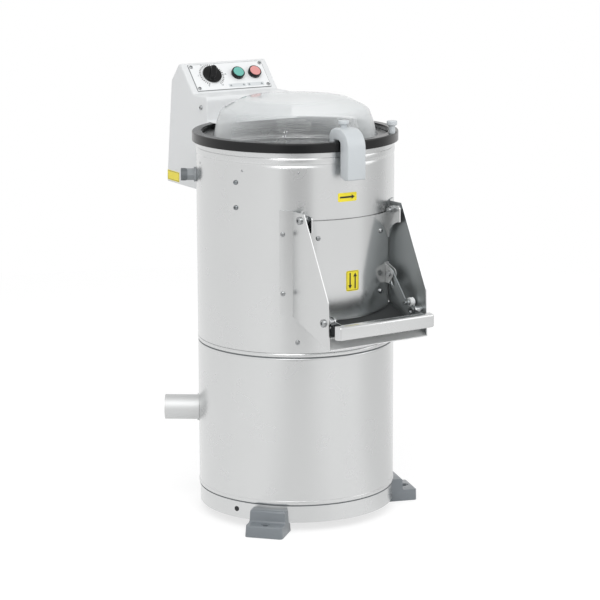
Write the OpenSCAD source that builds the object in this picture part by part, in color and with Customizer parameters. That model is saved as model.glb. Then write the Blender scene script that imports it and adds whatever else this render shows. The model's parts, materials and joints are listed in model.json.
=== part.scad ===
// Garlic peeling machine: a round drum on three feet, with a lid that turns and
// lifts off, a discharge door pulled open by its tray, a turntable inside, and a
// control box behind. The origin is on the floor, on the drum's axis. The door
// faces -Y, and an azimuth is counted from -Y towards +X. An outward distance u
// runs from the axis towards -Y. Lengths are millimetres.

/* [Drum] */
// Outer radius of the drum
drum_r = 200; // [194:1:206]
// Thickness of the drum's sheet
sheet = 1.5; // [1.2:0.1:1.9]
// Height of the base ring's underside above the floor
base_z = 19; // [16:1:22]
// Height of the joint between base ring and lower shell
shell_z = 55; // [53:1:60]
// Height of the seam between the two shells
seam_z = 366; // [362:1:368]
// Height of the drum's top edge
rim_z = 765; // [762:1:785]
// Wall of the base ring
base_wall = 3; // [2:0.5:4]
// How far the beads stand out of the drum
bead_out = 1; // [0.6:0.1:1.4]
// Width of the inward flanges that join the shells
flange_w = 14; // [10:1:16]
// Thickness of the chamber's liner
liner_t = 1.5; // [1:0.1:2]
// Thickness of the chamber's floor
floor_t = 3; // [2:0.5:4]

/* [Rim and mouth] */
// How far the rim ring stands out of the drum
rim_out = 8; // [6:0.5:8]
// How far the rim ring reaches inwards from the drum's radius
rim_in = 10; // [9:0.5:10.5]
// Height of the rim ring
rim_h = 19; // [17:1:20]
// Radius of the feed mouth
mouth_r = 158; // [152:1:162]
// Thickness of the mouth collar
collar_t = 3; // [2:0.5:4]
// Wall of the mouth collar's upright edge
collar_wall = 2; // [1:0.5:2]

/* [Lid] */
// How far the dome's foot lies inside the lid frame's edge
dome_in = 20.5; // [18:0.5:23]
// Height of the dome's top above the drum's edge
dome_h = 84; // [80:1:100]
// Wall of the dome
dome_wall = 4; // [3:0.5:5]
// Clearance of the lid frame inside the mouth collar
lid_play = 1.7; // [1:0.1:3]
// Thickness of the lid's seal
seal_t = 2; // [1.5:0.5:3]
// Thickness of the dome's foot
foot_t = 3; // [2:0.5:4]
// Width of the lid arm
arm_w = 40; // [34:1:44]
// How far the arm's front face stands out of the drum
arm_out = 42; // [38:1:50]
// Height of the arm's lower end below the drum's edge
arm_drop = 54; // [30:1:60]
// Height of the arm's top above the drum's edge
arm_rise = 45; // [42:1:50]
// Radius of the heads of the arm knob and the stop post
knob_head_r = 10.5; // [9:0.5:12]
// Azimuth of the stop post in the turned top frame
post_az = 45; // [44:1:50]

/* [Discharge door] */
// Half angle of the door
door_half = 31.5; // [31:0.5:32]
// Height of the door's lower edge
door_low = 436; // [434:1:438]
// Height of the door's upper edge
door_high = 631; // [625:1:631]
// Thickness of the door's sheet
door_t = 1.6; // [1.2:0.1:2]
// Thickness of the door's seal
door_seal_t = 2.9; // [2.5:0.1:3.2]
// Half angle of the opening in the drum
mouth_half = 26; // [24:0.5:26.5]
// Height of the opening's lower edge
mouth_low = 442; // [441:1:450]
// Height of the opening's upper edge
mouth_high = 613; // [600:1:613]
// Height of the door's hinge axis
hinge_z = 636; // [636:0.5:640]
// How far the hinge axis lies inside the drum's radius
hinge_in = 10; // [9:0.5:10.5]
// Outer half width of the door's ears
ear_x = 107; // [107:0.5:108]
// Thickness of the door's ears
ear_t = 3; // [2:0.5:3]

/* [Cheeks and chute] */
// Outer half width across the cheeks
cheek_x = 118; // [117:1:122]
// Thickness of the cheeks
cheek_t = 2; // [1.5:0.1:2]
// Height of the cheeks' top edge
cheek_top = 650; // [648:1:660]
// Height of the cheeks' front knee
knee_z = 489; // [480:1:500]
// How far the knee stands out of the drum
knee_out = 86; // [80:1:92]
// How far the chute's front edge stands out of the drum
chute_out = 90; // [86:1:96]
// Height of the chute's front edge
chute_z = 395; // [385:1:396]
// Thickness of the chute floor
chute_t = 2; // [1.5:0.1:2.2]
// Azimuth of the edge of the cheeks' tabs
tab_az = 43; // [42.5:0.5:46]

/* [Tray] */
// How far the tray's pivot stands out of the drum
pivot_out = 71; // [70:0.5:72]
// Height of the tray's pivot
pivot_z = 447; // [446:0.5:449]
// Outer half width across the tray's walls
tray_x = 98; // [97.8:0.1:98.2]
// Thickness of the tray's sheet
tray_t = 2; // [1.5:0.1:2]
// Depth of the handle bar
bar_d = 18; // [14:1:22]
// Height of the handle bar
bar_h = 27; // [24:1:30]
// Half length of the handle bar
bar_x = 113; // [108:1:114]
// Height of the clevis pin
clevis_z = 509; // [508:0.5:510]
// How far the clevis pin lies inside the drum's radius
clevis_in = 5; // [4.5:0.5:5]
// Radius of the clevis pin
clevis_r = 4; // [3:0.5:4]
// Length of the clevis pin's travel along the lever's slot
slot_run = 20.6; // [20.6:0.1:22]
// Half width that the slot has beyond the clevis pin
slot_play = 1.5; // [1.4:0.1:1.8]
// Radius of the roller
roller_r = 9; // [7:0.5:10]

/* [Feet] */
// Width of a foot
foot_w = 78; // [70:1:84]
// How far a foot stands out of the base ring
foot_out = 52; // [48:1:60]
// Height of a foot's back
foot_back = 46.5; // [44:0.5:51]
// How far a foot's back stands out of the base ring
foot_step = 21; // [18:0.5:24]
// Height of a foot's toe
foot_toe = 23; // [20:1:26]
// Radius of the hollow between a foot's back and its toe
foot_hollow = 13; // [8:1:15]
// Distance from a foot's front to its floor bolt
toe_in = 16.5; // [14:0.5:19]
// Radius of a floor bolt's hole
floor_hole_r = 5.5; // [4:0.5:6.5]
// Radius of the scoop round a floor bolt's hole
scoop_r = 19; // [15:1:22]

/* [Control box] */
// Width of the control box
box_w = 202; // [196:1:210]
// Thickness of the box's sheet
box_t = 1.5; // [1:0.1:1.8]
// Distance from the axis to the neck's front face
neck_y = 188.5; // [188:0.5:190]
// Height of the box's underside
box_low = 636; // [630:1:645]
// Height of the ledge in front of the panel
ledge_z = 835; // [832:1:845]
// Distance from the axis to the foot of the panel's slope
slope_y = 250; // [245:1:255]
// Length of the panel's slope
slope_len = 79; // [77:1:84]
// Angle of the panel's slope
slope_a = 46; // [42:1:50]
// Distance from the axis to the box's lower back edge
back_y = 377; // [370:1:390]

/* [Panel] */
// Width of the panel plate
plate_w = 173; // [168:1:180]
// Height of the panel plate along the slope
plate_h = 67.5; // [65:0.5:70]
// Thickness of the panel plate
plate_t = 1.5; // [1:0.1:2]
// Sideways place of the timer
timer_x = -41; // [-44:1:-38]
// Sideways place of the start button
start_x = 19; // [16:1:22]
// Sideways place of the stop button
stop_x = 59; // [56:1:62]
// Radius of the timer knob's skirt
knob_r = 20.5; // [18:0.5:22]
// Height of the timer knob
knob_h = 17; // [14:1:20]
// Radius of a button's bezel
bezel_r = 14; // [13:0.5:15]
// Height of a button's bezel
bezel_h = 9; // [8:0.5:11]
// Radius of a button's cap
cap_r = 11.6; // [10:0.1:11.8]

/* [Drain and water] */
// Outer radius of the drain
drain_r = 25.5; // [23:0.5:26]
// Wall of the drain
drain_wall = 2; // [1.5:0.1:2.5]
// Height of the drain's axis
drain_z = 206.5; // [200:0.5:215]
// Azimuth of the drain
drain_az = -126.5; // [-130:0.5:-124]
// How far the drain stands out of the drum
drain_out = 70; // [60:1:90]
// Radius of the drain's bend
drain_bend = 45; // [40:1:48]
// Height of the water inlet's axis
inlet_z = 695; // [690:1:705]
// Azimuth of the water inlet
inlet_az = -121; // [-123:0.5:-118]
// Radius of the water inlet's flange
inlet_r = 15; // [14:0.5:16]
// Radius of the water passage
water_r = 5; // [4:0.5:6]

/* [Drive] */
// Radius of the peeling plate
plate_r = 190; // [180:1:192]
// Thickness of the peeling plate
disc_t = 8; // [6:1:10]
// Height of the peeling plate's underside
disc_z = 420; // [418:1:422]
// Radius of the drive shaft
shaft_r = 12.45; // [11:0.05:13]
// Outer radius of the bearings
bearing_r = 23.5; // [22:0.5:25]
// Width of a bearing
bearing_w = 12; // [10:1:14]
// Groove radius of the driven pulley
driven_r = 72; // [66:1:74]
// Groove radius of the motor pulley
driver_r = 24; // [20:1:26]
// Distance from the drum's axis to the motor's axis
motor_offset = 110; // [109:1:112]
// Azimuth of the motor
motor_az = 60; // [50:1:70]
// Radius of the motor
motor_r = 60; // [50:1:62]
// Height of the motor's body
motor_h = 190; // [160:1:200]

/* [Fits] */
// Gap between pieces that move past each other or lie on a curved face
gap = 0.3; // [0.25:0.05:0.35]
// Radial clearance of a running fit
run = 0.05; // [0.03:0.01:0.08]
// Radial clearance of a screw in its hole
hole_play = 0.15; // [0.1:0.05:0.25]

/* [Hidden] */
$fn = 64;

// The box, the arm, the post and the feet are turned a little from the door
top_turn = -4.3;
// Extra length of every cutting tool
over = 1;
steel = "#d2d3d2";
steel_dark = "#b9bcbb";
rim_black = "#2b2e31";
box_grey = "#cdd1d4";
cast_grey = "#858b90";
arm_grey = "#d5d9dc";
plastic_grey = "#6d7275";
rubber_black = "#232526";

inner_r = drum_r - sheet;
base_r = drum_r - 1.5;
liner_r = inner_r - gap;
chamber_r = liner_r - liner_t;
rim_r = drum_r + rim_out;
collar_r = drum_r - rim_in - gap;
frame_r = collar_r - collar_wall - lid_play;
dome_r = frame_r - dome_in;
floor_bolt_r = base_r + foot_out - toe_in;
rim_top = rim_z + rim_h;
floor_z = seam_z + sheet;
floor_top = floor_z + floor_t;

// Screws: head radius, head height and shank radius
screw_small = [3.6, 2, 1.9];
screw_m5 = [4.6, 3, 2.5];
screw_m10 = [8, 5, 5];

function unit(v) = v / norm(v);
function left_of(a, b) = let (v = unit(b - a)) [-v[1], v[0]];
function inset(pts, d) = [for (i = [0:len(pts) - 1])
    let (n = len(pts), p = pts[i],
        before = left_of(pts[(i + n - 1) % n], p), after = left_of(p, pts[(i + 1) % n]))
    p + d * (before + after) / (1 + before * after)];
function arc(c, r, a0, a1, n = 12) =
    [for (i = [0:n]) let (a = a0 + (a1 - a0) * i / n) c + r * [cos(a), sin(a)]];
function bead(r, z, h, d, n = 8) =
    [for (i = [0:n]) let (a = 180 * i / n) [r + d * sin(a), z - h / 2 * cos(a)]];
// A sheet wall from the outline of its outside, listed upwards
function wall(outline, t) =
    concat(outline, [for (i = [len(outline) - 1:-1:0]) outline[i] - [t, 0]]);
function out(pts) = [for (p = pts) [-p[0], p[1]]];

module along_x(x0, x1) {
    translate([x0, 0, 0]) rotate([90, 0, 90]) linear_extrude(x1 - x0) children();
}
// A solid from x0 to x1 whose side view is a list of outward distances and heights
module side_solid(x0, x1, pts) {
    along_x(x0, x1) polygon(out(pts));
}
module both_sides() {
    children();
    mirror([1, 0, 0]) children();
}
module top_frame() {
    rotate([0, 0, top_turn]) children();
}
module tube(r1, r0, z0, z1) {
    rotate_extrude() translate([r0, z0]) square([r1 - r0, z1 - z0]);
}
// A piece of a tube between two azimuths
module drum_patch(r0, r1, a0, a1, z0, z1) {
    rotate([0, 0, a0 - 90]) rotate_extrude(angle = a1 - a0)
        translate([r0, z0]) square([r1 - r0, z1 - z0]);
}
// Local +Z points outwards at a radius, an azimuth and a height
module facing_out(a, r, z) {
    rotate([0, 0, a]) translate([0, -r, z]) rotate([90, 0, 0]) children();
}
// Local +Z points to the right from a place given as u and z
module facing_right(x, u, z) {
    translate([x, -u, z]) rotate([0, 90, 0]) children();
}
module screw(size, shank_l) {
    head_r = size[0];
    head_h = size[1];
    ball_r = (head_r * head_r + head_h * head_h) / (2 * head_h);
    rotate_extrude() intersection() {
        translate([0, head_h - ball_r]) circle(ball_r);
        square([head_r, head_h]);
    }
    translate([0, 0, -shank_l]) cylinder(r = size[2], h = shank_l + head_h / 2);
}
module screw_hole(size, depth) {
    translate([0, 0, -depth]) cylinder(r = size[2] + hole_play, h = depth + over);
}
module nut(r, bore, h) {
    difference() {
        cylinder(r = r, h = h, $fn = 6);
        translate([0, 0, -over]) cylinder(r = bore, h = h + 2 * over);
    }
}
module washer(r, bore, h) {
    difference() {
        cylinder(r = r, h = h);
        translate([0, 0, -over]) cylinder(r = bore, h = h + 2 * over);
    }
}

// Base and feet
base_hole_az = -71.2;
base_hole_r = 3.75;
foot_azs = [-45, 75, 195];
foot_bolt_x = 24;
foot_bolt_z = 33;
foot_bolt_run = 12;
foot_ledge = 12;
foot_edge = 1.5;
foot_seat_r = base_r + gap;

module foot_bolt_places() {
    for (a = foot_azs, x = [-foot_bolt_x, foot_bolt_x])
        top_frame() rotate([0, 0, a]) translate([x, 0, foot_bolt_z]) rotate([90, 0, 0]) children();
}
// Where the foot bolts' heads lie against the inside of the base ring
bolt_seat = sqrt(pow(base_r - base_wall, 2) - pow(foot_bolt_x + screw_m5[0], 2)) - gap;

module base_ring() {
    color(steel) difference() {
        union() {
            tube(base_r, base_r - base_wall, base_z, shell_z);
            tube(base_r, drum_r - flange_w - sheet, shell_z - base_wall, shell_z);
        }
        facing_out(base_hole_az, base_r - base_wall - over, (base_z + shell_z) / 2)
            cylinder(r = base_hole_r, h = base_wall + 2 * over);
        foot_bolt_places() cylinder(r = screw_m5[2] + hole_play, h = base_r + over);
    }
}

module foot(a) {
    heel = base_r - foot_ledge;
    toe = base_r + foot_out;
    step = base_r + foot_step;
    profile = concat([[heel, 0], [toe, 0], [toe, foot_toe - foot_edge], [toe - foot_edge, foot_toe]],
        arc([step + foot_hollow, foot_toe + foot_hollow], foot_hollow, 270, 180, 8),
        [[step, foot_back - foot_edge], [step - foot_edge, foot_back], [heel, foot_back]]);
    color(cast_grey) top_frame() rotate([0, 0, a]) difference() {
        side_solid(-foot_w / 2, foot_w / 2, profile);
        translate([0, 0, base_z]) cylinder(r = foot_seat_r, h = foot_back);
        translate([0, -floor_bolt_r, -over]) cylinder(r = floor_hole_r, h = foot_toe + 2 * over);
        translate([0, -floor_bolt_r, foot_toe]) cylinder(r = scoop_r, h = foot_back);
        for (x = [-foot_bolt_x, foot_bolt_x])
            translate([x, -bolt_seat, foot_bolt_z]) rotate([90, 0, 0])
                cylinder(r = screw_m5[2] + hole_play, h = foot_bolt_run + over);
    }
}
module foot_front() {
    foot(foot_azs[0]);
}
module foot_right() {
    foot(foot_azs[1]);
}
module foot_rear() {
    foot(foot_azs[2]);
}
module foot_bolts() {
    color(steel_dark) foot_bolt_places() translate([0, 0, bolt_seat]) mirror([0, 0, 1])
        screw(screw_m5, foot_bolt_run);
}

// Drum shells. Each bead has a shallow groove under it.
groove_in = 1.2;
groove_low = rim_z - 32;
seam_bead_h = 8;
top_bead_z = rim_z - 17.5;
top_bead_h = 13;
base_bead_h = 8;
drum_screw_places = [[-69.7, rim_z - 63], [-69.7, rim_z - 113], [-33, seam_z + 22.6]];
cheek_bolt_azs = [-41.1, 41.1];
cheek_bolt_zs = [487, 605];
door_gap_r = drum_r + gap;

module drum_screw_place(place) {
    facing_out(place[0], drum_r + 0.1, place[1]) children();
}
module cheek_bolt_places(r) {
    for (a = cheek_bolt_azs, z = cheek_bolt_zs)
        facing_out(a, r, z) children();
}
module drain_cut(r, r0, r1) {
    facing_out(drain_az, r0, drain_z) cylinder(r = r, h = r1 - r0);
}

module lower_shell() {
    top = seam_z;
    outside = concat([[drum_r - 0.6, shell_z]],
        bead(drum_r, shell_z + 1 + base_bead_h / 2, base_bead_h, bead_out),
        [[drum_r, top - 15], [drum_r - 0.3, top - 12], [drum_r - groove_in, top - 9]],
        bead(drum_r - groove_in, top - seam_bead_h / 2 - 0.2, seam_bead_h - 0.4, bead_out + 0.8));
    color(steel) difference() {
        union() {
            rotate_extrude() polygon(wall(outside, sheet));
            tube(drum_r - sheet, drum_r - flange_w, shell_z, shell_z + sheet);
            tube(drum_r - groove_in - sheet / 2, drum_r - flange_w, top - sheet, top);
        }
        drain_cut(drain_r - drain_wall, inner_r - 2 * over, drum_r + over);
    }
}

module upper_shell() {
    top = rim_z;
    outside = concat([[drum_r - 0.6, seam_z], [drum_r, seam_z + 1.2]],
        [[drum_r, groove_low], [drum_r - 0.3, groove_low + 2.5], [drum_r - groove_in, groove_low + 6]],
        bead(drum_r - groove_in / 2, top_bead_z, top_bead_h, bead_out + groove_in / 2),
        [[drum_r, top_bead_z + top_bead_h / 2 + 1], [drum_r, top]]);
    color(steel) difference() {
        union() {
            rotate_extrude() polygon(wall(outside, sheet));
            tube(drum_r - sheet, drum_r - flange_w, seam_z, seam_z + sheet);
        }
        drum_patch(inner_r - over, drum_r + over, -mouth_half, mouth_half, mouth_low, mouth_high);
        facing_out(inlet_az, inner_r - 2 * over, inlet_z)
            cylinder(r = inlet_shank_r + hole_play, h = sheet + 4 * over);
        for (place = drum_screw_places)
            drum_screw_place(place) screw_hole(screw_m5, 4);
        cheek_bolt_places(drum_r) screw_hole(screw_m5, 4);
    }
}

module drum_floor() {
    color(steel_dark) difference() {
        translate([0, 0, floor_z]) cylinder(r = inner_r - gap, h = floor_t);
        translate([0, 0, floor_z - over]) cylinder(r = housing_r + gap, h = floor_t + 2 * over);
        rotate([0, 0, drain_az]) translate([0, -drain_sump_r, floor_z - over])
            cylinder(r = drain_r - drain_wall, h = floor_t + 2 * over);
    }
}

module chamber_liner() {
    color(steel_dark) difference() {
        tube(liner_r, chamber_r, floor_top + gap, groove_low - 1);
        drum_patch(chamber_r - over, liner_r + over, -mouth_half, mouth_half,
            mouth_low, mouth_high);
        facing_out(inlet_az, chamber_r - 2 * over, inlet_z)
            cylinder(r = inlet_shank_r + hole_play, h = liner_t + 4 * over);
    }
}

module drum_screws() {
    color(steel_dark) for (place = drum_screw_places)
        drum_screw_place(place) screw(screw_m5, sheet);
}

// Drain: a flanged tube under the floor, an elbow and a free pipe outside the shell
drain_sump_r = 135;
drain_flange_w = 8;
drain_flange_t = 3;
weld_r = 2.5;
bend_top = drain_z + drain_bend;

module drain_tube(l) {
    difference() {
        cylinder(r = drain_r, h = l);
        translate([0, 0, -over]) cylinder(r = drain_r - drain_wall, h = l + 2 * over);
    }
}
module drain_riser() {
    color(steel_dark) rotate([0, 0, drain_az]) {
        translate([0, -drain_sump_r, bend_top]) drain_tube(floor_z - bend_top);
        translate([0, -drain_sump_r, floor_z - drain_flange_t])
            washer(drain_r + drain_flange_w, drain_r - drain_wall, drain_flange_t);
    }
}
module drain_elbow() {
    run_out = drain_sump_r + drain_bend;
    color(steel_dark) rotate([0, 0, drain_az]) {
        translate([0, -run_out, bend_top]) rotate([-90, 0, 90]) rotate_extrude(angle = 90)
            translate([drain_bend, 0]) difference() {
                circle(drain_r);
                circle(drain_r - drain_wall);
            }
        intersection() {
            translate([0, -run_out, drain_z]) rotate([90, 0, 0]) drain_tube(drum_r - run_out);
            translate([0, 0, drain_z - drain_r - over])
                cylinder(r = inner_r - gap, h = 2 * drain_r + 2 * over);
        }
    }
}
module drain_pipe() {
    start = drum_r - 5;
    color(steel) rotate([0, 0, drain_az]) difference() {
        union() {
            translate([0, -start, drain_z]) rotate([90, 0, 0])
                cylinder(r = drain_r, h = drum_r + drain_out - start);
            translate([0, -start, drain_z]) rotate([90, 0, 0])
                cylinder(r = drain_r + weld_r, h = 8);
        }
        translate([0, -start + over, drain_z]) rotate([90, 0, 0])
            cylinder(r = drain_r - drain_wall, h = drain_out + 10 + 2 * over);
        translate([0, 0, drain_z - drain_r - 5]) cylinder(r = door_gap_r, h = 2 * drain_r + 10);
    }
}

// Water inlet
inlet_shank_r = 9;
inlet_flange_t = 5;
inlet_hex_af = 22;
inlet_hex_l = 13;
inlet_neck_l = 10;
inlet_cap_r = 12;
inlet_cap_l = 13;
inlet_shank_l = 10;

module inlet_body() {
    hex_end = drum_r + inlet_flange_t + inlet_hex_l;
    color(plastic_grey) difference() {
        union() {
            difference() {
                facing_out(inlet_az, drum_r - 3, inlet_z)
                    cylinder(r = inlet_r, h = inlet_flange_t + 3);
                translate([0, 0, inlet_z - inlet_r - over])
                    cylinder(r = door_gap_r, h = 2 * inlet_r + 2 * over);
            }
            facing_out(inlet_az, drum_r - inlet_shank_l, inlet_z)
                cylinder(r = inlet_shank_r, h = inlet_shank_l + inlet_flange_t);
            facing_out(inlet_az, drum_r + inlet_flange_t, inlet_z)
                cylinder(r = inlet_hex_af / sqrt(3), h = inlet_hex_l, $fn = 6);
            facing_out(inlet_az, hex_end, inlet_z) cylinder(r = inlet_shank_r, h = inlet_neck_l);
        }
        facing_out(inlet_az, drum_r - inlet_shank_l - over, inlet_z)
            cylinder(r = water_r, h = inlet_shank_l + 60);
    }
}
module inlet_cap() {
    start = drum_r + inlet_flange_t + inlet_hex_l + gap;
    color(plastic_grey) facing_out(inlet_az, start, inlet_z) difference() {
        cylinder(r = inlet_cap_r, h = inlet_cap_l);
        translate([0, 0, -over]) cylinder(r = inlet_shank_r + run, h = inlet_neck_l + over);
        cylinder(r = water_r, h = inlet_cap_l + over);
    }
}

// Rim ring, mouth collar and stop post
post_r = 200;
post_shank_r = 5;
post_shank_l = 12;
post_stem_r = 6.5;
post_slot_d = 2;
post_slot_w = 26;
post_slot_t = 13.6;
post_stem_l = 17;
knob_head_h = 7;
collar_slot_azs = [98, 121, 128];
collar_slot_w = 9;
collar_slot_h = 9;

module rim_ring() {
    r0 = drum_r - rim_in;
    round_r = 3;
    profile = concat([[r0, rim_z], [rim_r, rim_z]],
        arc([rim_r - round_r, rim_top - round_r], round_r, 0, 90, 6), [[r0, rim_top]]);
    color(rim_black) difference() {
        rotate_extrude() polygon(profile);
        top_frame() rotate([0, 0, post_az]) translate([0, -post_r, rim_top]) {
            translate([-post_slot_w / 2, -post_slot_t / 2, -post_slot_d])
                cube([post_slot_w, post_slot_t, post_slot_d + over]);
            translate([0, 0, -post_slot_d - post_shank_l])
                cylinder(r = post_shank_r + run, h = post_shank_l + over);
        }
    }
}
module mouth_collar() {
    color(steel_dark) difference() {
        union() {
            tube(inner_r - gap, mouth_r, rim_z - collar_t, rim_z);
            tube(collar_r, collar_r - collar_wall, rim_z - collar_t, rim_top - 3);
        }
        for (a = collar_slot_azs)
            facing_out(a, collar_r - collar_wall - over, rim_z + 3) translate([-collar_slot_w / 2, 0, 0])
                cube([collar_slot_w, collar_slot_h, collar_wall + 2 * over]);
    }
}
module stop_post() {
    color(arm_grey) top_frame() rotate([0, 0, post_az])
        translate([0, -post_r, rim_top - post_slot_d]) {
            cylinder(r = post_stem_r, h = post_stem_l);
            translate([0, 0, -post_shank_l + gap]) cylinder(r = post_shank_r, h = post_shank_l);
            translate([0, 0, post_stem_l]) cylinder(r = knob_head_r, h = knob_head_h + 2);
        }
}

// Lid
seal_z = rim_z + seal_t;
frame_top = seal_z + foot_t + 5;
dome_foot_r = (dome_r + frame_r) / 2;
seal_land = (frame_r - mouth_r) / 7;
knob_u = 191;
arm_top = rim_z + arm_rise;

function dome_outline(d) =
    let (top = rim_z + dome_h - d, z0 = seal_z + foot_t)
    concat([[dome_r - d, z0], [dome_r - 6.5 - d, z0 + 29], [dome_r - 13.5 - d, z0 + 49]],
        arc([dome_r - 43.5, top - 24 + d], 24 - d, 14, 74, 8), [[0, top]]);

module lid_seal() {
    color(rubber_black) tube(frame_r - seal_land, mouth_r + 2 * seal_land, rim_z, seal_z);
}
module dome() {
    inside = dome_outline(dome_wall);
    color("#dfe6ea", 0.45) rotate_extrude() polygon(concat(
        [[dome_r - dome_wall, seal_z], [dome_foot_r, seal_z], [dome_foot_r, seal_z + foot_t]],
        dome_outline(0), [for (i = [len(inside) - 1:-1:0]) inside[i]]));
}
module lid_frame() {
    inner = dome_r + gap;
    color(rim_black) rotate_extrude() polygon([[dome_foot_r + gap, seal_z], [frame_r, seal_z],
        [frame_r, frame_top], [inner, frame_top], [inner, seal_z + foot_t + gap],
        [dome_foot_r + gap, seal_z + foot_t + gap]]);
}
module lid_arm() {
    inner_face = rim_r + 2.5;
    outer_face = drum_r + arm_out;
    under = rim_top + 3;
    low = rim_z - arm_drop;
    bend = outer_face - 205;
    foot_in = dome_r + (frame_r - dome_r) / 6;
    profile = concat([[foot_in, frame_top], [frame_r - 1.5, frame_top], [frame_r - 1.5, under - 2],
        [frame_r, under]], arc([inner_face - 8, under - 8], 8, 90, 0, 6),
        [[inner_face, low + 5], [outer_face - 15, low], [outer_face, low + 2]],
        arc([outer_face - bend, arm_top - bend], bend, 0, 90, 14),
        [[knob_u - 4, arm_top], [foot_in + 6, arm_top - 5], [foot_in, arm_top - 13]]);
    color(arm_grey) top_frame() difference() {
        side_solid(-arm_w / 2, arm_w / 2, profile);
        translate([0, -knob_u, arm_top - post_shank_l])
            cylinder(r = post_shank_r + run, h = post_shank_l + over);
    }
}
module arm_knob() {
    color(arm_grey) top_frame() translate([0, -knob_u, arm_top]) {
        cylinder(r = post_stem_r, h = 7);
        translate([0, 0, -post_shank_l + gap]) cylinder(r = post_shank_r, h = post_shank_l);
        translate([0, 0, 7]) cylinder(r = knob_head_r, h = knob_head_h);
    }
}

// Cheeks and chute. Side views list an outward distance and a height.
cheek_in = cheek_x - cheek_t;
cheek_root = sqrt(drum_r * drum_r - cheek_x * cheek_x);
tab_r = door_gap_r + cheek_t;
hinge_u = drum_r - hinge_in;
pivot_u = drum_r + pivot_out;

module cheek() {
    profile = [[cheek_root - 8, mouth_low + 3], [cheek_root, mouth_low],
        [drum_r + chute_out, chute_z], [drum_r + knee_out, knee_z], [drum_r + 4, cheek_top],
        [cheek_root - 8, cheek_top]];
    tab_start = asin((cheek_in + 0.2) / door_gap_r);
    color(steel) difference() {
        union() {
            difference() {
                side_solid(cheek_in, cheek_x, profile);
                translate([0, 0, chute_z - over])
                    cylinder(r = door_gap_r + cheek_t / 2, h = cheek_top - chute_z + 10);
            }
            drum_patch(door_gap_r, tab_r, tab_start, tab_az, mouth_low + 4, cheek_top + 2);
        }
        cheek_bolt_places(tab_r) screw_hole(screw_m5, 4);
        facing_right(cheek_in - over, hinge_u, hinge_z)
            cylinder(r = screw_m10[2] + hole_play, h = cheek_t + 2 * over);
        facing_right(cheek_in - over, pivot_u, pivot_z)
            cylinder(r = screw_m10[2] + hole_play, h = cheek_t + 2 * over);
    }
}
module cheek_right() {
    cheek();
}
module cheek_left() {
    mirror([1, 0, 0]) cheek();
}
// The side view of the chute floor, or with all that lies under it
function chute_side(t, under = 0) =
    let (along = unit([drum_r + chute_out - cheek_root, chute_z - mouth_low]),
        lift = t * [-along[1], along[0]],
        rear = [cheek_root - 8, mouth_low] - 8 * [0, along[1]],
        front = [drum_r + chute_out, chute_z])
    [rear - [0, under], front - [0, under], front + lift, rear + lift];
module chute_floor() {
    color(steel) difference() {
        side_solid(-cheek_in + gap, cheek_in - gap, chute_side(chute_t));
        translate([0, 0, chute_z - over]) cylinder(r = door_gap_r, h = mouth_low - chute_z + 20);
    }
}
module cheek_bolts() {
    color(steel_dark) cheek_bolt_places(tab_r + 0.1) screw(screw_m5, cheek_t + sheet);
}
module hinge_bolts() {
    inner = ear_x - ear_t;
    color(steel_dark) both_sides() {
        facing_right(cheek_x, hinge_u, hinge_z) screw(screw_m10, cheek_x - inner + 6);
        facing_right(ear_x + gap, hinge_u, hinge_z)
            washer(8, screw_m10[2] + run, cheek_in - ear_x - 2 * gap);
        facing_right(inner - 5 - gap, hinge_u, hinge_z) nut(8, screw_m10[2] + run, 5);
    }
}
module pivot_bolts() {
    inner = tray_x - tray_t;
    span = cheek_in - tray_x - 2 * gap;
    color(steel_dark) {
        both_sides() {
            facing_right(cheek_x, pivot_u, pivot_z) screw(screw_m10, cheek_x - inner + 6);
            facing_right(inner - 5 - gap, pivot_u, pivot_z) nut(8, screw_m10[2] + run, 5);
        }
        facing_right(tray_x + gap, pivot_u, pivot_z) washer(8, screw_m10[2] + run, span);
        facing_right(-cheek_in + gap, pivot_u, pivot_z) washer(8, screw_m10[2] + run, 2.5);
        facing_right(-cheek_in + 2.5 + 2 * gap, pivot_u, pivot_z)
            washer(15, screw_m10[2] + run, 2.5);
        facing_right(-cheek_in + 5 + 3 * gap, pivot_u, pivot_z)
            washer(8, screw_m10[2] + run, span - 5 - 2 * gap);
    }
}

// Discharge door
door_r0 = door_gap_r + door_seal_t;
door_r1 = door_r0 + door_t;
chute_play = 1;
door_bolt_az = 21.5;
door_bolt_zs = [475, 597];
seal_w = 3.3;

module door_bolt_places(r) {
    for (a = [-door_bolt_az, door_bolt_az], z = door_bolt_zs)
        facing_out(a, r, z) children();
}
module discharge_door() {
    x0 = ear_x - ear_t;
    ear = concat([[hinge_u - 16.5, hinge_z + 5], [hinge_u - 14, hinge_z + 8]],
        arc([hinge_u + 16, hinge_z + 2], 8, 90, 0, 5),
        [[hinge_u + 24, hinge_z - 22]], arc([hinge_u + 26, hinge_z - 60], 38, 95, 165, 8),
        [[hinge_u - 13, hinge_z - 57], [hinge_u - 16, hinge_z - 57]]);
    color(steel) difference() {
        union() {
            drum_patch(door_r0, door_r1, -door_half, door_half, door_low, door_high);
            both_sides() side_solid(x0, ear_x, ear);
        }
        both_sides() facing_right(x0 - over, hinge_u, hinge_z)
            cylinder(r = screw_m10[2] + run, h = ear_t + 2 * over);
        door_bolt_places(door_r1) screw_hole(screw_m5, 4);
        side_solid(-cheek_in, cheek_in, chute_side(chute_t + chute_play, door_high - door_low));
    }
}
module door_seal() {
    color(rubber_black) difference() {
        drum_patch(door_gap_r, door_r0, -mouth_half - 4, mouth_half + 4,
            mouth_low - seal_w - 2, mouth_high + 12);
        drum_patch(door_gap_r - over, door_r0 + over, -mouth_half - 0.5, mouth_half + 0.5,
            mouth_low - 1, mouth_high + 1);
        side_solid(-cheek_in, cheek_in, chute_side(chute_t + chute_play, door_high - door_low));
    }
}
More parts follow.
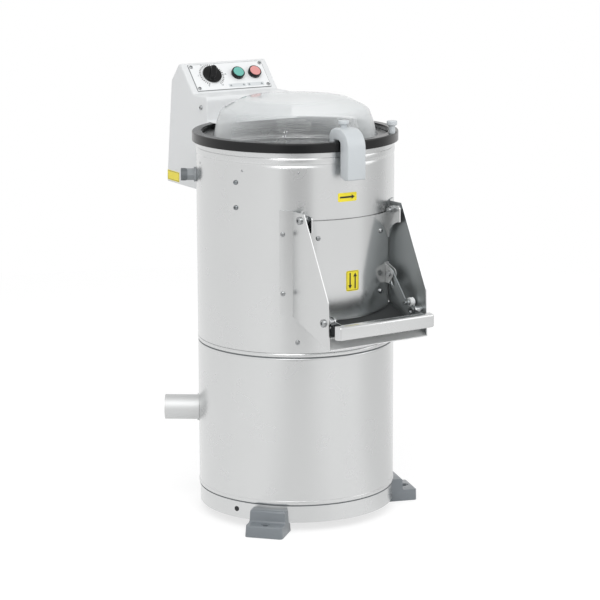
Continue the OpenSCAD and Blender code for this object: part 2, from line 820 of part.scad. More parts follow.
module door_backing() {
    color(steel_dark) difference() {
        drum_patch(door_gap_r + 0.6, door_r0, -mouth_half + 1.5, mouth_half - 1.5,
            mouth_low + 5, mouth_high - 5);
        door_bolt_places(door_r0) screw_hole(screw_m5, 4);
    }
}
module door_bolts() {
    color(steel_dark) door_bolt_places(door_r1 + 0.1) screw(screw_m5, door_t + 2);
}

clevis_u = drum_r - clevis_in;
lug_x0 = tray_x - 5;
lug_x1 = tray_x + 5;
lug_t = 2;
lug_base_t = 1.6;
lug_low = clevis_z - 20;
lug_high = clevis_z + 21;

module clevis_lug() {
    a0 = asin(lug_x0 / (door_r1 + gap));
    a1 = asin(lug_x1 / (door_r1 + gap));
    root = sqrt(pow(door_r1, 2) - pow(lug_x1, 2)) - 2;
    ear = concat([[root, lug_low], [clevis_u, lug_low]],
        arc([clevis_u, clevis_z], 12, -30, 90, 8), [[root, lug_high]]);
    color(steel_dark) difference() {
        union() {
            drum_patch(door_r1 + gap, door_r1 + gap + lug_base_t, a0, a1 + 0.3, lug_low, lug_high);
            side_solid(lug_x0, lug_x0 + lug_t, ear);
            side_solid(lug_x1 - lug_t, lug_x1, ear);
        }
        translate([0, 0, lug_low - over]) cylinder(r = door_r1 + gap, h = lug_high - lug_low + 2 * over);
        facing_right(lug_x0 - over, clevis_u, clevis_z)
            cylinder(r = clevis_r + run, h = lug_x1 - lug_x0 + 2 * over);
    }
}
module clevis_pin() {
    color(steel) {
        facing_right(lug_x0 - 2, clevis_u, clevis_z) cylinder(r = clevis_r, h = lug_x1 - lug_x0 + 4);
        facing_right(lug_x0 - 4, clevis_u, clevis_z) cylinder(r = clevis_r + 2, h = 3.7);
        facing_right(lug_x1 + gap, clevis_u, clevis_z) cylinder(r = clevis_r + 2, h = 2.5);
    }
}

// Tray, its lever arm, its handle and the roller
slot_dir = unit([10.9, -17.4]);
slot_side = [-slot_dir[1], slot_dir[0]];
slot_half = clevis_r + slot_play;
slot_bias = 0.9;
bar_u = pivot_u + 31;
bar_top = pivot_z - 1;
roller_u = pivot_u - 22;
roller_z = pivot_z + 11.5;
axle_r = 4;
lever_end_r = 10;
lever_front = unit([54, -64]);
lever_front_l = 74;
tray_rear = [pivot_u - 15, pivot_z - 33];
tray_front = [bar_u, pivot_z - 20];

function wall_profile() = [tray_rear - [0, 1.5], tray_front - [0, 1.5], [bar_u, bar_top],
    [pivot_u - 19, pivot_z + 6], [pivot_u - 19, pivot_z - 16.5]];

module pivot_boss() {
    circle(lever_end_r);
}
module tray() {
    clevis = [clevis_u, clevis_z];
    front_out = [-lever_front[1], lever_front[0]];
    lever = concat([[pivot_u + 4, pivot_z + 3], [pivot_u - 14, pivot_z + 6]],
        [clevis + lever_end_r * front_out + lever_front_l * lever_front],
        arc(clevis, lever_end_r, 40, 200, 12),
        [[clevis_u - 4, clevis_z - 14.5], [clevis_u + 6, clevis_z - 27.5],
        [pivot_u - 19, pivot_z - 16.5], [pivot_u - 4, pivot_z - 20]]);
    slot_mid = clevis + slot_dir * slot_run / 2 - slot_side * slot_bias;
    color(steel) difference() {
        union() {
            both_sides() along_x(tray_x - tray_t, tray_x) union() {
                polygon(out(wall_profile()));
                translate([-pivot_u, pivot_z]) pivot_boss();
            }
            side_solid(tray_x - tray_t, tray_x, lever);
            along_x(tray_x - tray_t, tray_x) translate([-roller_u, roller_z]) circle(axle_r + 4);
            side_solid(-tray_x + 0.5, tray_x - 0.5, [tray_rear, tray_front,
                tray_front - [0, tray_t], tray_rear - [0, tray_t]]);
            side_solid(-tray_x + 0.5, tray_x - 0.5, [tray_front - [tray_t, tray_t],
                tray_front - [0, tray_t], [bar_u, bar_top], [bar_u - tray_t, bar_top]]);
        }
        both_sides() facing_right(tray_x - tray_t - over, pivot_u, pivot_z)
            cylinder(r = screw_m10[2] + run, h = tray_t + 2 * over);
        facing_right(tray_x - tray_t - over, roller_u, roller_z)
            cylinder(r = axle_r + run, h = tray_t + 2 * over);
        along_x(tray_x - tray_t - over, tray_x + over)
            translate([-slot_mid[0], slot_mid[1]])
            rotate(-atan2(slot_dir[1], slot_dir[0])) union() {
                square([slot_run + 1.2, 2 * slot_half], center = true);
                for (s = [-1, 1]) translate([s * (slot_run + 1.2) / 2, 0]) circle(slot_half);
            }
    }
}
module rounded_bar(d, h, r) {
    union() {
        translate([r, 0]) square([d - 2 * r, h]);
        translate([0, r]) square([d, h - 2 * r]);
        for (x = [r, d - r], y = [r, h - r])
            translate([x, y]) circle(r);
    }
}
module tray_handle() {
    t = 1.5;
    color(steel) difference() {
        along_x(-bar_x, bar_x) translate([-bar_u - bar_d, bar_top - bar_h])
            rounded_bar(bar_d, bar_h, 4);
        along_x(-bar_x + t, bar_x - t) translate([-bar_u - bar_d + t, bar_top - bar_h + t])
            union() {
                rounded_bar(bar_d, bar_h - 2 * t, 2.5);
                translate([bar_d / 2, 0]) square([bar_d, bar_h - 2 * t]);
            }
    }
}
module roller_axle() {
    color(steel_dark) {
        facing_right(tray_x - tray_t - 5, roller_u, roller_z) cylinder(r = axle_r, h = 22);
        facing_right(tray_x + gap, roller_u, roller_z) cylinder(r = 6, h = 4.4);
        facing_right(tray_x + 14.3, roller_u, roller_z) cylinder(r = 6, h = 1.8);
    }
}
module roller() {
    color("#eef0f0") facing_right(tray_x + 5, roller_u, roller_z) washer(roller_r, axle_r + run, 9);
}

// Control box, drawn in the turned top frame. Its side views list y and z.
box_x = box_w / 2;
slope_foot = [slope_y, ledge_z];
slope_top = slope_foot + slope_len * [cos(slope_a), sin(slope_a)];
back_low = [back_y, box_low];
back_high = slope_top + [45, -37];
neck_low = rim_top + 0.6;
neck_root = drum_r - 50;
neck_cut = neck_root - 50;
neck_round = 10;
back_up = unit(back_high - back_low);
back_out = [back_up[1], -back_up[0]];
screw_x = 81.5;
screw_s = [10.5, 67];
side_screw = [214, 811];
gland_at = [60, 330];

function box_outline() = concat(
    [[neck_root, box_low], back_low, back_high, slope_top + [9, 2], slope_top + [4, 3], slope_top,
    slope_foot],
    arc([neck_y + neck_round, ledge_z - neck_round], neck_round, 90, 180, 6),
    [[neck_y, neck_low], [neck_root, neck_low]]);

module on_slope(x, s) {
    at = slope_top - s * [cos(slope_a), sin(slope_a)];
    translate([x, at[0], at[1]]) rotate([slope_a, 0, 0]) children();
}
// A flat bar lying along the back face between two distances up it
module back_slab(x, s0, s1, n0, n1) {
    corners = [[s0, n0], [s0, n1], [s1, n1], [s1, n0]];
    along_x(-x, x) polygon([for (c = corners) back_low + c[0] * back_up + c[1] * back_out]);
}
module on_back(x, s) {
    at = back_low + s * back_up;
    translate([x, at[0], at[1]]) rotate([-atan2(back_out[0], back_out[1]), 0, 0]) children();
}
module panel_cut(r) {
    translate([0, 0, -10]) cylinder(r = r, h = 20);
}
timer_s = 34;
button_s = 36;
back_len = norm(back_high - back_low);

module panel_holes() {
    on_slope(timer_x, timer_s) panel_cut(5 + gap);
    on_slope(start_x, button_s) panel_cut(11 + gap);
    on_slope(stop_x, button_s) panel_cut(11 + gap);
    for (x = [-screw_x, screw_x], s = screw_s)
        on_slope(x, s) panel_cut(screw_small[2] + hole_play);
}
module cover_screw_places() {
    for (x = [-box_x + 10, box_x - 10], s = [18, back_len - 18])
        on_back(x, s) children();
}
module control_box() {
    inside = inset(box_outline(), box_t);
    color(box_grey) top_frame() difference() {
        along_x(-box_x, box_x) polygon(box_outline());
        along_x(-box_x + box_t, box_x - box_t) union() {
            polygon(inside);
            translate([neck_cut, box_low + box_t])
                square([drum_r - neck_cut, neck_low - box_low - box_t]);
        }
        translate([0, 0, box_low - over]) cylinder(r = door_gap_r, h = rim_z - box_low + over);
        translate([0, 0, top_bead_z - top_bead_h])
            cylinder(r = door_gap_r + bead_out, h = 2 * top_bead_h);
        translate([0, 0, rim_z - over]) cylinder(r = rim_r + gap, h = rim_h + over + gap);
        back_slab(box_x - 20, 28, back_len - 28, -3, over);
        cover_screw_places() panel_cut(screw_small[2] + hole_play);
        panel_holes();
        both_sides() facing_right(box_x - box_t - over, -side_screw[0], side_screw[1])
            cylinder(r = screw_m5[2] + hole_play, h = box_t + 2 * over);
        translate([gland_at[0], gland_at[1], box_low - over])
            cylinder(r = 10 + gap, h = box_t + 2 * over);
    }
}
module rear_cover() {
    color(box_grey) top_frame() difference() {
        back_slab(box_x - 3, 8, back_len - 8, 0, box_t);
        cover_screw_places() panel_cut(screw_small[2] + hole_play);
    }
}
module panel_plate() {
    color("#e9ebec") top_frame() difference() {
        on_slope(-plate_w / 2, 5 + plate_h) cube([plate_w, plate_h, plate_t]);
        panel_holes();
    }
}
module box_screws() {
    color(steel_dark) top_frame() {
        for (x = [-screw_x, screw_x], s = screw_s)
            on_slope(x, s) translate([0, 0, plate_t]) screw(screw_small, plate_t + box_t + 4);
        cover_screw_places() translate([0, 0, box_t]) screw(screw_small, 2 * box_t + 4);
        both_sides() facing_right(box_x, -side_screw[0], side_screw[1]) screw(screw_m5, 8);
    }
}
module timer_body() {
    color("#3a3d3f") top_frame() on_slope(timer_x, timer_s) {
        translate([-23, -23, -box_t - gap - 32]) cube([46, 46, 32]);
        translate([0, 0, -box_t - gap - over]) cylinder(r = 5, h = box_t + gap + over + plate_t);
        cylinder(r = 3, h = knob_h - 2);
    }
}
module timer_knob() {
    foot = plate_t + gap;
    color("#1c1d1f") top_frame() on_slope(timer_x, timer_s) difference() {
        union() {
            translate([0, 0, foot]) cylinder(r = knob_r, h = 5);
            translate([0, 0, foot]) linear_extrude(knob_h) union() {
                square([11, 2 * knob_r - 12], center = true);
                for (s = [-1, 1]) translate([0, s * (knob_r - 6)]) circle(5.5);
            }
        }
        cylinder(r = 3 + run, h = knob_h - 2 + gap);
    }
}

// Push buttons. The cap rides in its bezel and its stem reaches the switch.
stem_r = 4;
cap_low = plate_t + 4.5;
switch_top = -box_t - 1.8;

module button_bezels() {
    color("#202224") top_frame() for (x = [start_x, stop_x]) on_slope(x, button_s) difference() {
        union() {
            translate([0, 0, plate_t]) cylinder(r = bezel_r, h = bezel_h);
            translate([0, 0, switch_top + gap]) cylinder(r = 11, h = plate_t - switch_top);
        }
        translate([0, 0, plate_t + 1.2]) cylinder(r = cap_r + gap, h = bezel_h);
        translate([0, 0, -20]) cylinder(r = stem_r + gap, h = 40);
    }
}
module push_button(x) {
    top_frame() on_slope(x, button_s) {
        translate([0, 0, cap_low]) cylinder(r = cap_r, h = plate_t + bezel_h + 1 - cap_low);
        translate([0, 0, switch_top - 4.5]) cylinder(r = stem_r, h = cap_low - switch_top + 5);
    }
}
module start_button() {
    color("#62bba9") push_button(start_x);
}
module stop_button() {
    color("#f08a88") push_button(stop_x);
}
module switch_bodies() {
    color("#3a3d3f") top_frame() for (x = [start_x, stop_x]) on_slope(x, button_s) difference() {
        translate([-14, -14, switch_top - 40]) cube([28, 28, 40]);
        translate([0, 0, switch_top - 8.5]) cylinder(r = stem_r + gap, h = 8.5 + over);
    }
}
contactor_at = [40, 260];
contactor_foot = [60, 60, 2];
contactor_body = [46, 48, 78];
contactor_top = [38, 36, 8];
module standing_block(size, z) {
    translate([contactor_at[0] - size[0] / 2, contactor_at[1] - size[1] / 2, z]) cube(size);
}
module contactor() {
    body_z = contactor_foot[2];
    color("#4a4f53") top_frame() translate([0, 0, box_low + box_t]) {
        standing_block(contactor_foot, 0);
        standing_block(contactor_body, body_z);
        standing_block(contactor_top, body_z + contactor_body[2]);
    }
}
module cable_gland() {
    color(rubber_black) top_frame() translate([gland_at[0], gland_at[1], box_low]) difference() {
        union() {
            translate([0, 0, -6]) cylinder(r = 14, h = 6, $fn = 6);
            translate([0, 0, -20]) cylinder(r = 11, h = 15);
            translate([0, 0, -over]) cylinder(r = 10, h = box_t + 9 + over);
            translate([0, 0, box_t + gap]) cylinder(r = 14, h = 5, $fn = 6);
        }
        translate([0, 0, -20 - over]) cylinder(r = 5, h = 40);
    }
}

// Drive: motor under its mount, belt, shaft in its housing, peeling plate
housing_r = bearing_r + 8.5;
housing_low = floor_z - 27;
housing_high = disc_z - 10;
housing_flange_r = 55;
housing_flange_t = 6;
pulley_low = floor_z - 52.5;
pulley_t = 20;
rim_t = 3;
mount_t = 6;
mount_r = 84;
mount_z = pulley_low - 19;
posts = [[90, 74], [180, 66], [270, 74]];
motor_shaft_r = 9.5;
belt_t = 4;
ridge_h = 6;
lower_bearing_z = housing_low + 2;
upper_bearing_z = housing_high - 2 - bearing_w;

module at_motor() {
    rotate([0, 0, motor_az]) translate([0, -motor_offset, 0]) children();
}
module motor() {
    top = mount_z;
    low = top - motor_h;
    color("#7d868c") at_motor() difference() {
        union() {
            translate([0, 0, low]) cylinder(r = motor_r - 3, h = motor_h);
            translate([0, 0, top - 8]) cylinder(r = motor_r + 5, h = 8);
            translate([0, 0, low]) cylinder(r = motor_r, h = 12);
            for (i = [0:17]) rotate([0, 0, 20 * i]) translate([0, -1.5, low + 20])
                cube([motor_r, 3, motor_h - 40]);
        }
        translate([0, 0, top - 40]) cylinder(r = motor_shaft_r + run, h = 40 + over);
    }
}
module motor_mount() {
    color(steel_dark) at_motor() difference() {
        union() {
            translate([0, 0, mount_z]) cylinder(r = mount_r, h = mount_t);
            for (post = posts) rotate([0, 0, post[0]]) translate([0, post[1], mount_z])
                cylinder(r = 6, h = floor_z - mount_z);
        }
        translate([0, 0, mount_z - over]) cylinder(r = motor_shaft_r + 10, h = mount_t + 2 * over);
    }
}
// The outline of a belt round two pulleys, the second one on the +X side
function belt_loop(r1, r2, d, n = 40) = let (a = acos((r1 - r2) / d))
    concat([for (i = [0:n]) let (t = a + (360 - 2 * a) * i / n) r1 * [cos(t), sin(t)]],
        [for (i = [0:n]) let (t = -a + 2 * a * i / n) [d, 0] + r2 * [cos(t), sin(t)]]);

module belt() {
    clear = 2 * gap;
    color(rubber_black) rotate([0, 0, motor_az - 90])
        translate([0, 0, pulley_low + rim_t + gap])
        linear_extrude(pulley_t - 2 * rim_t - 2 * gap) difference() {
            polygon(belt_loop(driven_r + clear + belt_t, driver_r + clear + belt_t, motor_offset));
            polygon(belt_loop(driven_r + clear, driver_r + clear, motor_offset));
        }
}
module pulley(groove_r, bore_r) {
    rim = groove_r + 6;
    translate([0, 0, pulley_low]) rotate_extrude() polygon([[bore_r, 0], [rim, 0],
        [rim, rim_t], [groove_r, rim_t], [groove_r, pulley_t - rim_t], [rim, pulley_t - rim_t],
        [rim, pulley_t], [bore_r, pulley_t]]);
}
module motor_pulley() {
    color(steel_dark) at_motor() {
        pulley(driver_r, motor_shaft_r + run);
        translate([0, 0, mount_z - 38]) cylinder(r = motor_shaft_r, h = pulley_low + pulley_t + 40 - mount_z);
    }
}
module driven_pulley() {
    color(steel_dark) pulley(driven_r, shaft_r + run);
}
module bearing_housing() {
    color(cast_grey) {
        tube(housing_r, bearing_r + run, housing_low, housing_high);
        tube(housing_flange_r, bearing_r + run, floor_z - housing_flange_t, floor_z);
    }
}
module bearings() {
    color(steel) for (z = [lower_bearing_z, upper_bearing_z])
        tube(bearing_r, shaft_r + run, z, z + bearing_w);
}
module drive_shaft() {
    low = pulley_low - 8;
    color(steel) {
        translate([0, 0, low]) cylinder(r = shaft_r, h = disc_z + 4 - gap - low);
        translate([0, 0, lower_bearing_z + bearing_w + gap])
            cylinder(r = shaft_r + 3, h = upper_bearing_z - lower_bearing_z - bearing_w - 2 * gap);
    }
}
module peeling_plate() {
    color("#9aa0a2") difference() {
        union() {
            translate([0, 0, disc_z]) cylinder(r = plate_r, h = disc_t);
            translate([0, 0, disc_z - 8]) cylinder(r = 40, h = 8 + over);
            for (a = [0, 120, 240]) rotate([0, 0, a]) translate([25, -14, disc_z + disc_t - over])
                rotate([90, 0, 90]) linear_extrude(plate_r - 40)
                polygon([[0, 0], [28, 0], [28, over], [18, over + ridge_h], [10, over + ridge_h], [0, over]]);
        }
        translate([0, 0, disc_z - 8 - over]) cylinder(r = shaft_r + run, h = 12 + over);
    }
}

base_ring();
foot_front();
foot_right();
foot_rear();
foot_bolts();
lower_shell();
upper_shell();
drum_floor();
chamber_liner();
drain_riser();
drain_elbow();
drain_pipe();
inlet_body();
inlet_cap();
rim_ring();
mouth_collar();
stop_post();
cheek_left();
cheek_right();
chute_floor();
cheek_bolts();
hinge_bolts();
pivot_bolts();
control_box();
rear_cover();
panel_plate();
box_screws();
timer_body();
button_bezels();
switch_bodies();
contactor();
cable_gland();
motor();
motor_mount();
bearing_housing();
bearings();
belt();
drum_screws();
lid_seal();
dome();
lid_frame();
lid_arm();
arm_knob();
discharge_door();
door_seal();
door_backing();
door_bolts();
clevis_lug();
clevis_pin();
tray();
tray_handle();
roller_axle();
roller();
peeling_plate();
drive_shaft();
driven_pulley();
motor_pulley();
timer_knob();
start_button();
stop_button();
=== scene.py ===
"""Dresses the garlic peeling machine: finishes, rounded castings, screws, labels and the studio."""
import json
from functools import partial
from math import atan2, cos, pi, radians, sin, sqrt, tan, tau

import bmesh
import bpy
from bpy.props import FloatProperty, FloatVectorProperty, IntProperty, PointerProperty
from bpy.types import Operator, PropertyGroup
from mathutils import Matrix, Vector


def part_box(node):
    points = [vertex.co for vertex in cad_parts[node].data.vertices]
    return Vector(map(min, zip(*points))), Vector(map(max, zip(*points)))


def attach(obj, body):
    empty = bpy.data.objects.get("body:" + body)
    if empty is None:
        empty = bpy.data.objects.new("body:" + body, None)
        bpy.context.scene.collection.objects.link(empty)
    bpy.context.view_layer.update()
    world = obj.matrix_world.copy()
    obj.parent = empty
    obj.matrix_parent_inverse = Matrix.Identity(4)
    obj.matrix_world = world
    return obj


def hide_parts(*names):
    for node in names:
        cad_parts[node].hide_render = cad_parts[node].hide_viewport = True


bl_info = {
    "name": "Garlic peeling machine",
    "version": (1, 0, 0),
    "blender": (4, 5, 0),
    "location": "3D View > Sidebar > Peeler",
    "description": "Dresses the packed machine with finishes, fastenings, labels and a studio",
    "category": "Object",
}

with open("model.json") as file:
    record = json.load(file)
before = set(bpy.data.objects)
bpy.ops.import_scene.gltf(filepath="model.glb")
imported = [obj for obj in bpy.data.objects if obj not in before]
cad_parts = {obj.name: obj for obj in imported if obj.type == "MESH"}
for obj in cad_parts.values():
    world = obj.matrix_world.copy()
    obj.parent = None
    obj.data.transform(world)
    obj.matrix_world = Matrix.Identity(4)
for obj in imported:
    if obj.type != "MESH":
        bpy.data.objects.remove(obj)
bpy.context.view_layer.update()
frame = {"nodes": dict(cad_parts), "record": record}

MM = 0.001
# Sizes that the CAD source has too, in millimetres and degrees. Places on the box are given as
# distance behind the drum's axis and height, and places on its slope as x and distance from the top.
DRUM_R = 200.0
DOOR_R = 204.8
CHEEK_X = 118.0
HINGE = (190.0, 636.0)
PIVOT = (271.0, 447.0)
FOOT_AZS = {"foot_front": -45.0, "foot_right": 75.0, "foot_rear": 195.0}
TOP_TURN = -4.3
BOX_X = 101.0
BACK_LOW, BACK_HIGH = Vector((377.0, 636.0)), Vector((349.88, 854.83))
SLOPE_FOOT, SLOPE_LEN, SLOPE_A = Vector((250.0, 835.0)), 79.0, 46.0
PLATE_T = 1.5
BACK_UP = (BACK_HIGH - BACK_LOW).normalized()
BACK_OUT = Vector((BACK_UP.y, -BACK_UP.x))
TIMER_AT, START_AT, STOP_AT = (-41.0, 34.0), (19.0, 36.0), (59.0, 36.0)
PANEL_SCREWS = [(x, s) for x in (-81.5, 81.5) for s in (10.5, 67)]

# Screws: head radius, head height, shank radius and socket width across its flats
SMALL_SCREW = (4.0, 2.2, 1.9, 3.2)
M5_SCREW = (4.9, 3.5, 2.5, 4.0)
M10_SCREW = (8.0, 5.0, 5.0, 6.0)

# Turns the box and the lid as they stand on the drum, and stands a plan's outline up
TOP = Matrix.Rotation(radians(TOP_TURN), 4, "Z")
UPRIGHT = Matrix(((0, 0, 1, 0), (0, 1, 0, 0), (1, 0, 0, 0), (0, 0, 0, 1)))

# Filled by the first operator: materials by finish, and node trees by name
finishes = {}
trees = {}


def linear(hex_colour):
    """An sRGB hex colour as linear red, green, blue and alpha."""
    parts = [int(hex_colour[i : i + 2], 16) / 255 for i in (1, 3, 5)]
    return (*(p / 12.92 if p <= 0.04045 else ((p + 0.055) / 1.055) ** 2.4 for p in parts), 1.0)


def colour(name, text, value):
    return FloatVectorProperty(
        name=name, description="Colour of the " + text, subtype="COLOR", size=4, min=0, max=1,
        default=linear(value))


def length(name, text, value, low=0.0, high=10.0):
    return FloatProperty(
        name=name, description=text, unit="LENGTH", default=value, min=low, max=high, precision=4)


def angle(name, text, degrees):
    return FloatProperty(name=name, description=text, subtype="ANGLE", default=radians(degrees))


def power(name, text, watts):
    return FloatProperty(name=name, description=text, unit="POWER", default=watts)


def count(name, text, value, low, high):
    return IntProperty(name=name, description=text, default=value, min=low, max=high)


class PeelerFinishes(PropertyGroup):
    steel: colour("Sheet steel", "brushed stainless sheet", "#d3d4d4")
    # Painted shade for the inner and upward faces of the cheeks, tray and chute
    inner: colour("Painted shade inside", "painted shade on inner and upward faces of cheeks, tray and chute", "#aeb2b3")
    fastener: colour("Fasteners", "screws, washers and turned steel", "#a4a6a7")
    casting: colour("Feet", "enamel on the cast feet", "#7c8287")
    box_coat: colour("Control box", "powder coat on the box", "#e3e5e6")
    arm_coat: colour("Lid arm", "coat on the arm and knobs", "#c8cdd0")
    ring_coat: colour("Rim ring", "ring round the mouth", "#090a0b")
    fitting: colour("Water fitting", "moulded union cap and gland", "#6d7275")
    label: colour("Labels", "vinyl labels", "#f4e22c")
    start: colour("Start button", "start button's cap", "#6bb9ad")
    stop: colour("Stop button", "stop button's cap", "#e09895")
    dome: colour("Dome", "clear dome", "#eef2f3")


class PeelerSizes(PropertyGroup):
    foot_round: length("Foot rounding", "Radius of the feet's cast edges", 0.0025, 0.0005, 0.004)
    toe_round: length("Toe rounding", "Radius of a toe's upright corners", 0.007, 0.003, 0.012)
    arm_round: length("Arm rounding", "Radius of the lid arm's edges", 0.0025, 0.0005, 0.004)
    box_round: length("Box rounding", "Radius of the box's folded edges", 0.0035, 0.0005, 0.0038)
    bar_round: length("Handle rounding", "Radius of the handle bar's edges", 0.0045, 0.001, 0.006)
    knob_round: length("Button rounding", "Radius of button and bezel edges", 0.0009, 0.0002, 0.002)
    knob_turn: angle("Knob turn", "How far the grip is turned from the slope, clockwise", 25)
    label_t: length("Label thickness", "Thickness of a vinyl label", 0.0002, 0.0001, 0.0005)
    tick_r: length("Dial radius", "Radius of the circle of dial ticks", 0.0262, 0.022, 0.035)
    tick_l: length("Tick length", "Length of a dial tick", 0.0035, 0.001, 0.006)
    ticks: count("Ticks", "Ticks on the timer dial", 31, 5, 90)
    ribs: count("Ribs", "Ribs round the union cap", 20, 6, 40)
    dome_steps: count("Dome steps", "Faces round the dome", 128, 24, 256)


class PeelerStudio(PropertyGroup):
    distance: length("Camera distance", "Camera to the drum's axis, level", 4.912, 1.0, 20.0)
    height: length("Camera height", "Camera above the floor", 1.459)
    turn: angle("Camera turn", "Camera's azimuth from the door, towards -X", 34)
    tilt: angle("Camera tilt", "How far the camera looks down", 11.803)
    lens: FloatProperty(name="Lens", description="Focal length", unit="CAMERA", default=147.3)
    floor: length("Floor radius", "Radius of the pale floor", 2.6, 1.0, 20.0)
    sky: FloatProperty(name="Sky light", description="Strength of the room's light", default=0.66)
    key: power("Key light", "Power of the key softbox", 98)
    fill: power("Fill light", "Power of the fill softbox", 28)
    window: power("Window light", "Power of the small light that glints on the dome", 4)


# Small tools for nodes

def add_node(tree, kind, inputs=(), **settings):
    """Adds a node; kinds that begin with ShaderNode leave it out. Inputs go by name, or in order
    among those in use. Each takes a value, an output, or a node, for its first output in use."""
    made = tree.nodes.new(kind if "Node" in kind else "ShaderNode" + kind)
    for key, value in settings.items():
        setattr(made, key, value)
    used = [socket for socket in made.inputs if socket.enabled]
    named = {socket.name: socket for socket in reversed(used)}
    for key, value in inputs.items() if isinstance(inputs, dict) else enumerate(inputs):
        socket = named[key] if isinstance(key, str) else used[key]
        if isinstance(value, bpy.types.Node):
            value = next(output for output in value.outputs if output.enabled)
        if isinstance(value, bpy.types.NodeSocket):
            tree.links.new(value, socket)
        else:
            socket.default_value = value
    return made


def new_material(name):
    """An empty material, and the tool that adds its nodes."""
    material = bpy.data.materials.new(name)
    material.use_nodes = True
    material.node_tree.nodes.clear()
    return material, partial(add_node, material.node_tree)


def grain(add, across_mm, along_mm=None, detail=2.0):
    """Noise from object coordinates; along_mm stretches it in the horizontal plane."""
    place = add("TexCoord").outputs["Object"]
    fine, slow = 1 / (across_mm * MM), 1 / ((along_mm or across_mm) * MM)
    mapped = add("Mapping", {"Vector": place, "Scale": (slow, slow, fine)})
    return add("TexNoise", {"Vector": mapped, "Scale": 1.0, "Detail": detail})


def darker(base, share):
    """The colour with a share of its light taken away."""
    return [c * (1 - share) for c in base[:3]] + [1.0]


def brushed(name, base, rough, stretch=0.0, inner=None):
    """Belt-brushed sheet: its scratches run level and draw lights out upright. The inner colour is
    painted shade, with a rougher gloss, on faces that look inwards and on faces that look up above the
    chute's lip."""
    material, add = new_material(name)
    # Real scratches are 0.1 mm apart; they are drawn 1.2 mm apart so that they show
    scratches = grain(add, 1.2, 90, 3.0)
    tone = add("Mix", (scratches, base, darker(base, 0.02)), data_type="RGBA")
    tone = add("Mix", (grain(add, 140, 90), tone, darker(base, 0.05)), data_type="RGBA")
    # The gloss wanders slowly, as the belt's pressure does; fine steps in it would show as stripes
    gloss = add("MapRange", {
        "Value": grain(add, 60), "To Min": rough - 0.02, "To Max": rough + 0.02})
    if inner:
        at = add("TexCoord").outputs
        way = add("SeparateXYZ", (at["Normal"],)).outputs
        place = add("SeparateXYZ", (at["Object"],)).outputs
        # A cheek's inner face looks back across the machine's middle, and gets painted shade
        side = add("Math", (place["X"], way["X"]), operation="MULTIPLY")
        inward = add("Math", (side, -0.05), operation="LESS_THAN")
        upward = add("Math", (way["Z"], 0.6), operation="GREATER_THAN")
        # Faces that look up get painted shade only above this height; the chute's lip below it keeps
        # the sheet's tone
        above = add("Math", (place["Z"], 0.412), operation="GREATER_THAN")
        upward = add("Math", (upward, above), operation="MULTIPLY")
        painted_shade_mask = add("Math", (inward, upward), operation="MAXIMUM")
        tone = add("Mix", (painted_shade_mask, tone, inner), data_type="RGBA")
        gloss = add("Math", (painted_shade_mask, 0.2, gloss), operation="MULTIPLY_ADD")
    inputs = {"Base Color": tone, "Metallic": 1.0, "Anisotropic": stretch, "Roughness": gloss}
    if stretch:
        inputs["Tangent"] = add("Tangent", direction_type="RADIAL", axis="Z")
        inputs["Anisotropic Rotation"] = 0.25
    shader = add("BsdfPrincipled", inputs)
    add("OutputMaterial", {"Surface": shader})
    return material


def coated(name, base, rough, peel_mm, peel, coat=0.0, mottle=0.06, shine=0.5):
    """Paint, powder or enamel: an even colour with the soft waves of a sprayed or cast skin."""
    material, add = new_material(name)
    waves = grain(add, peel_mm)
    tone = add("Mix", (grain(add, 60), base, darker(base, mottle)), data_type="RGBA")
    gloss = add("MapRange", {"Value": waves, "To Min": rough - 0.08, "To Max": rough + 0.08})
    skin = add("Bump", {"Height": waves, "Strength": peel, "Distance": 0.2 * MM})
    shader = add("BsdfPrincipled", {
        "Base Color": tone, "Roughness": gloss, "Normal": skin, "Coat Weight": coat,
        "Coat Roughness": 0.15, "Specular IOR Level": shine})
    add("OutputMaterial", {"Surface": shader})
    return material


def clear_plastic(name, base):
    """Vacuum-formed polycarbonate: clear face on, whiter where it is seen edge on."""
    material, add = new_material(name)
    facing = add("LayerWeight", {"Blend": 0.35}).outputs["Facing"]
    veil = add("MapRange", {"Value": facing, "To Min": 0.1, "To Max": 0.8})
    skin = add("Bump", {"Height": grain(add, 45), "Strength": 0.05, "Distance": 1.0 * MM})
    shader = add("BsdfPrincipled", {
        "Base Color": base, "Roughness": 0.03, "IOR": 1.58, "Specular IOR Level": 1.0,
        "Alpha": veil, "Normal": skin})
    add("OutputMaterial", {"Surface": shader})
    return material


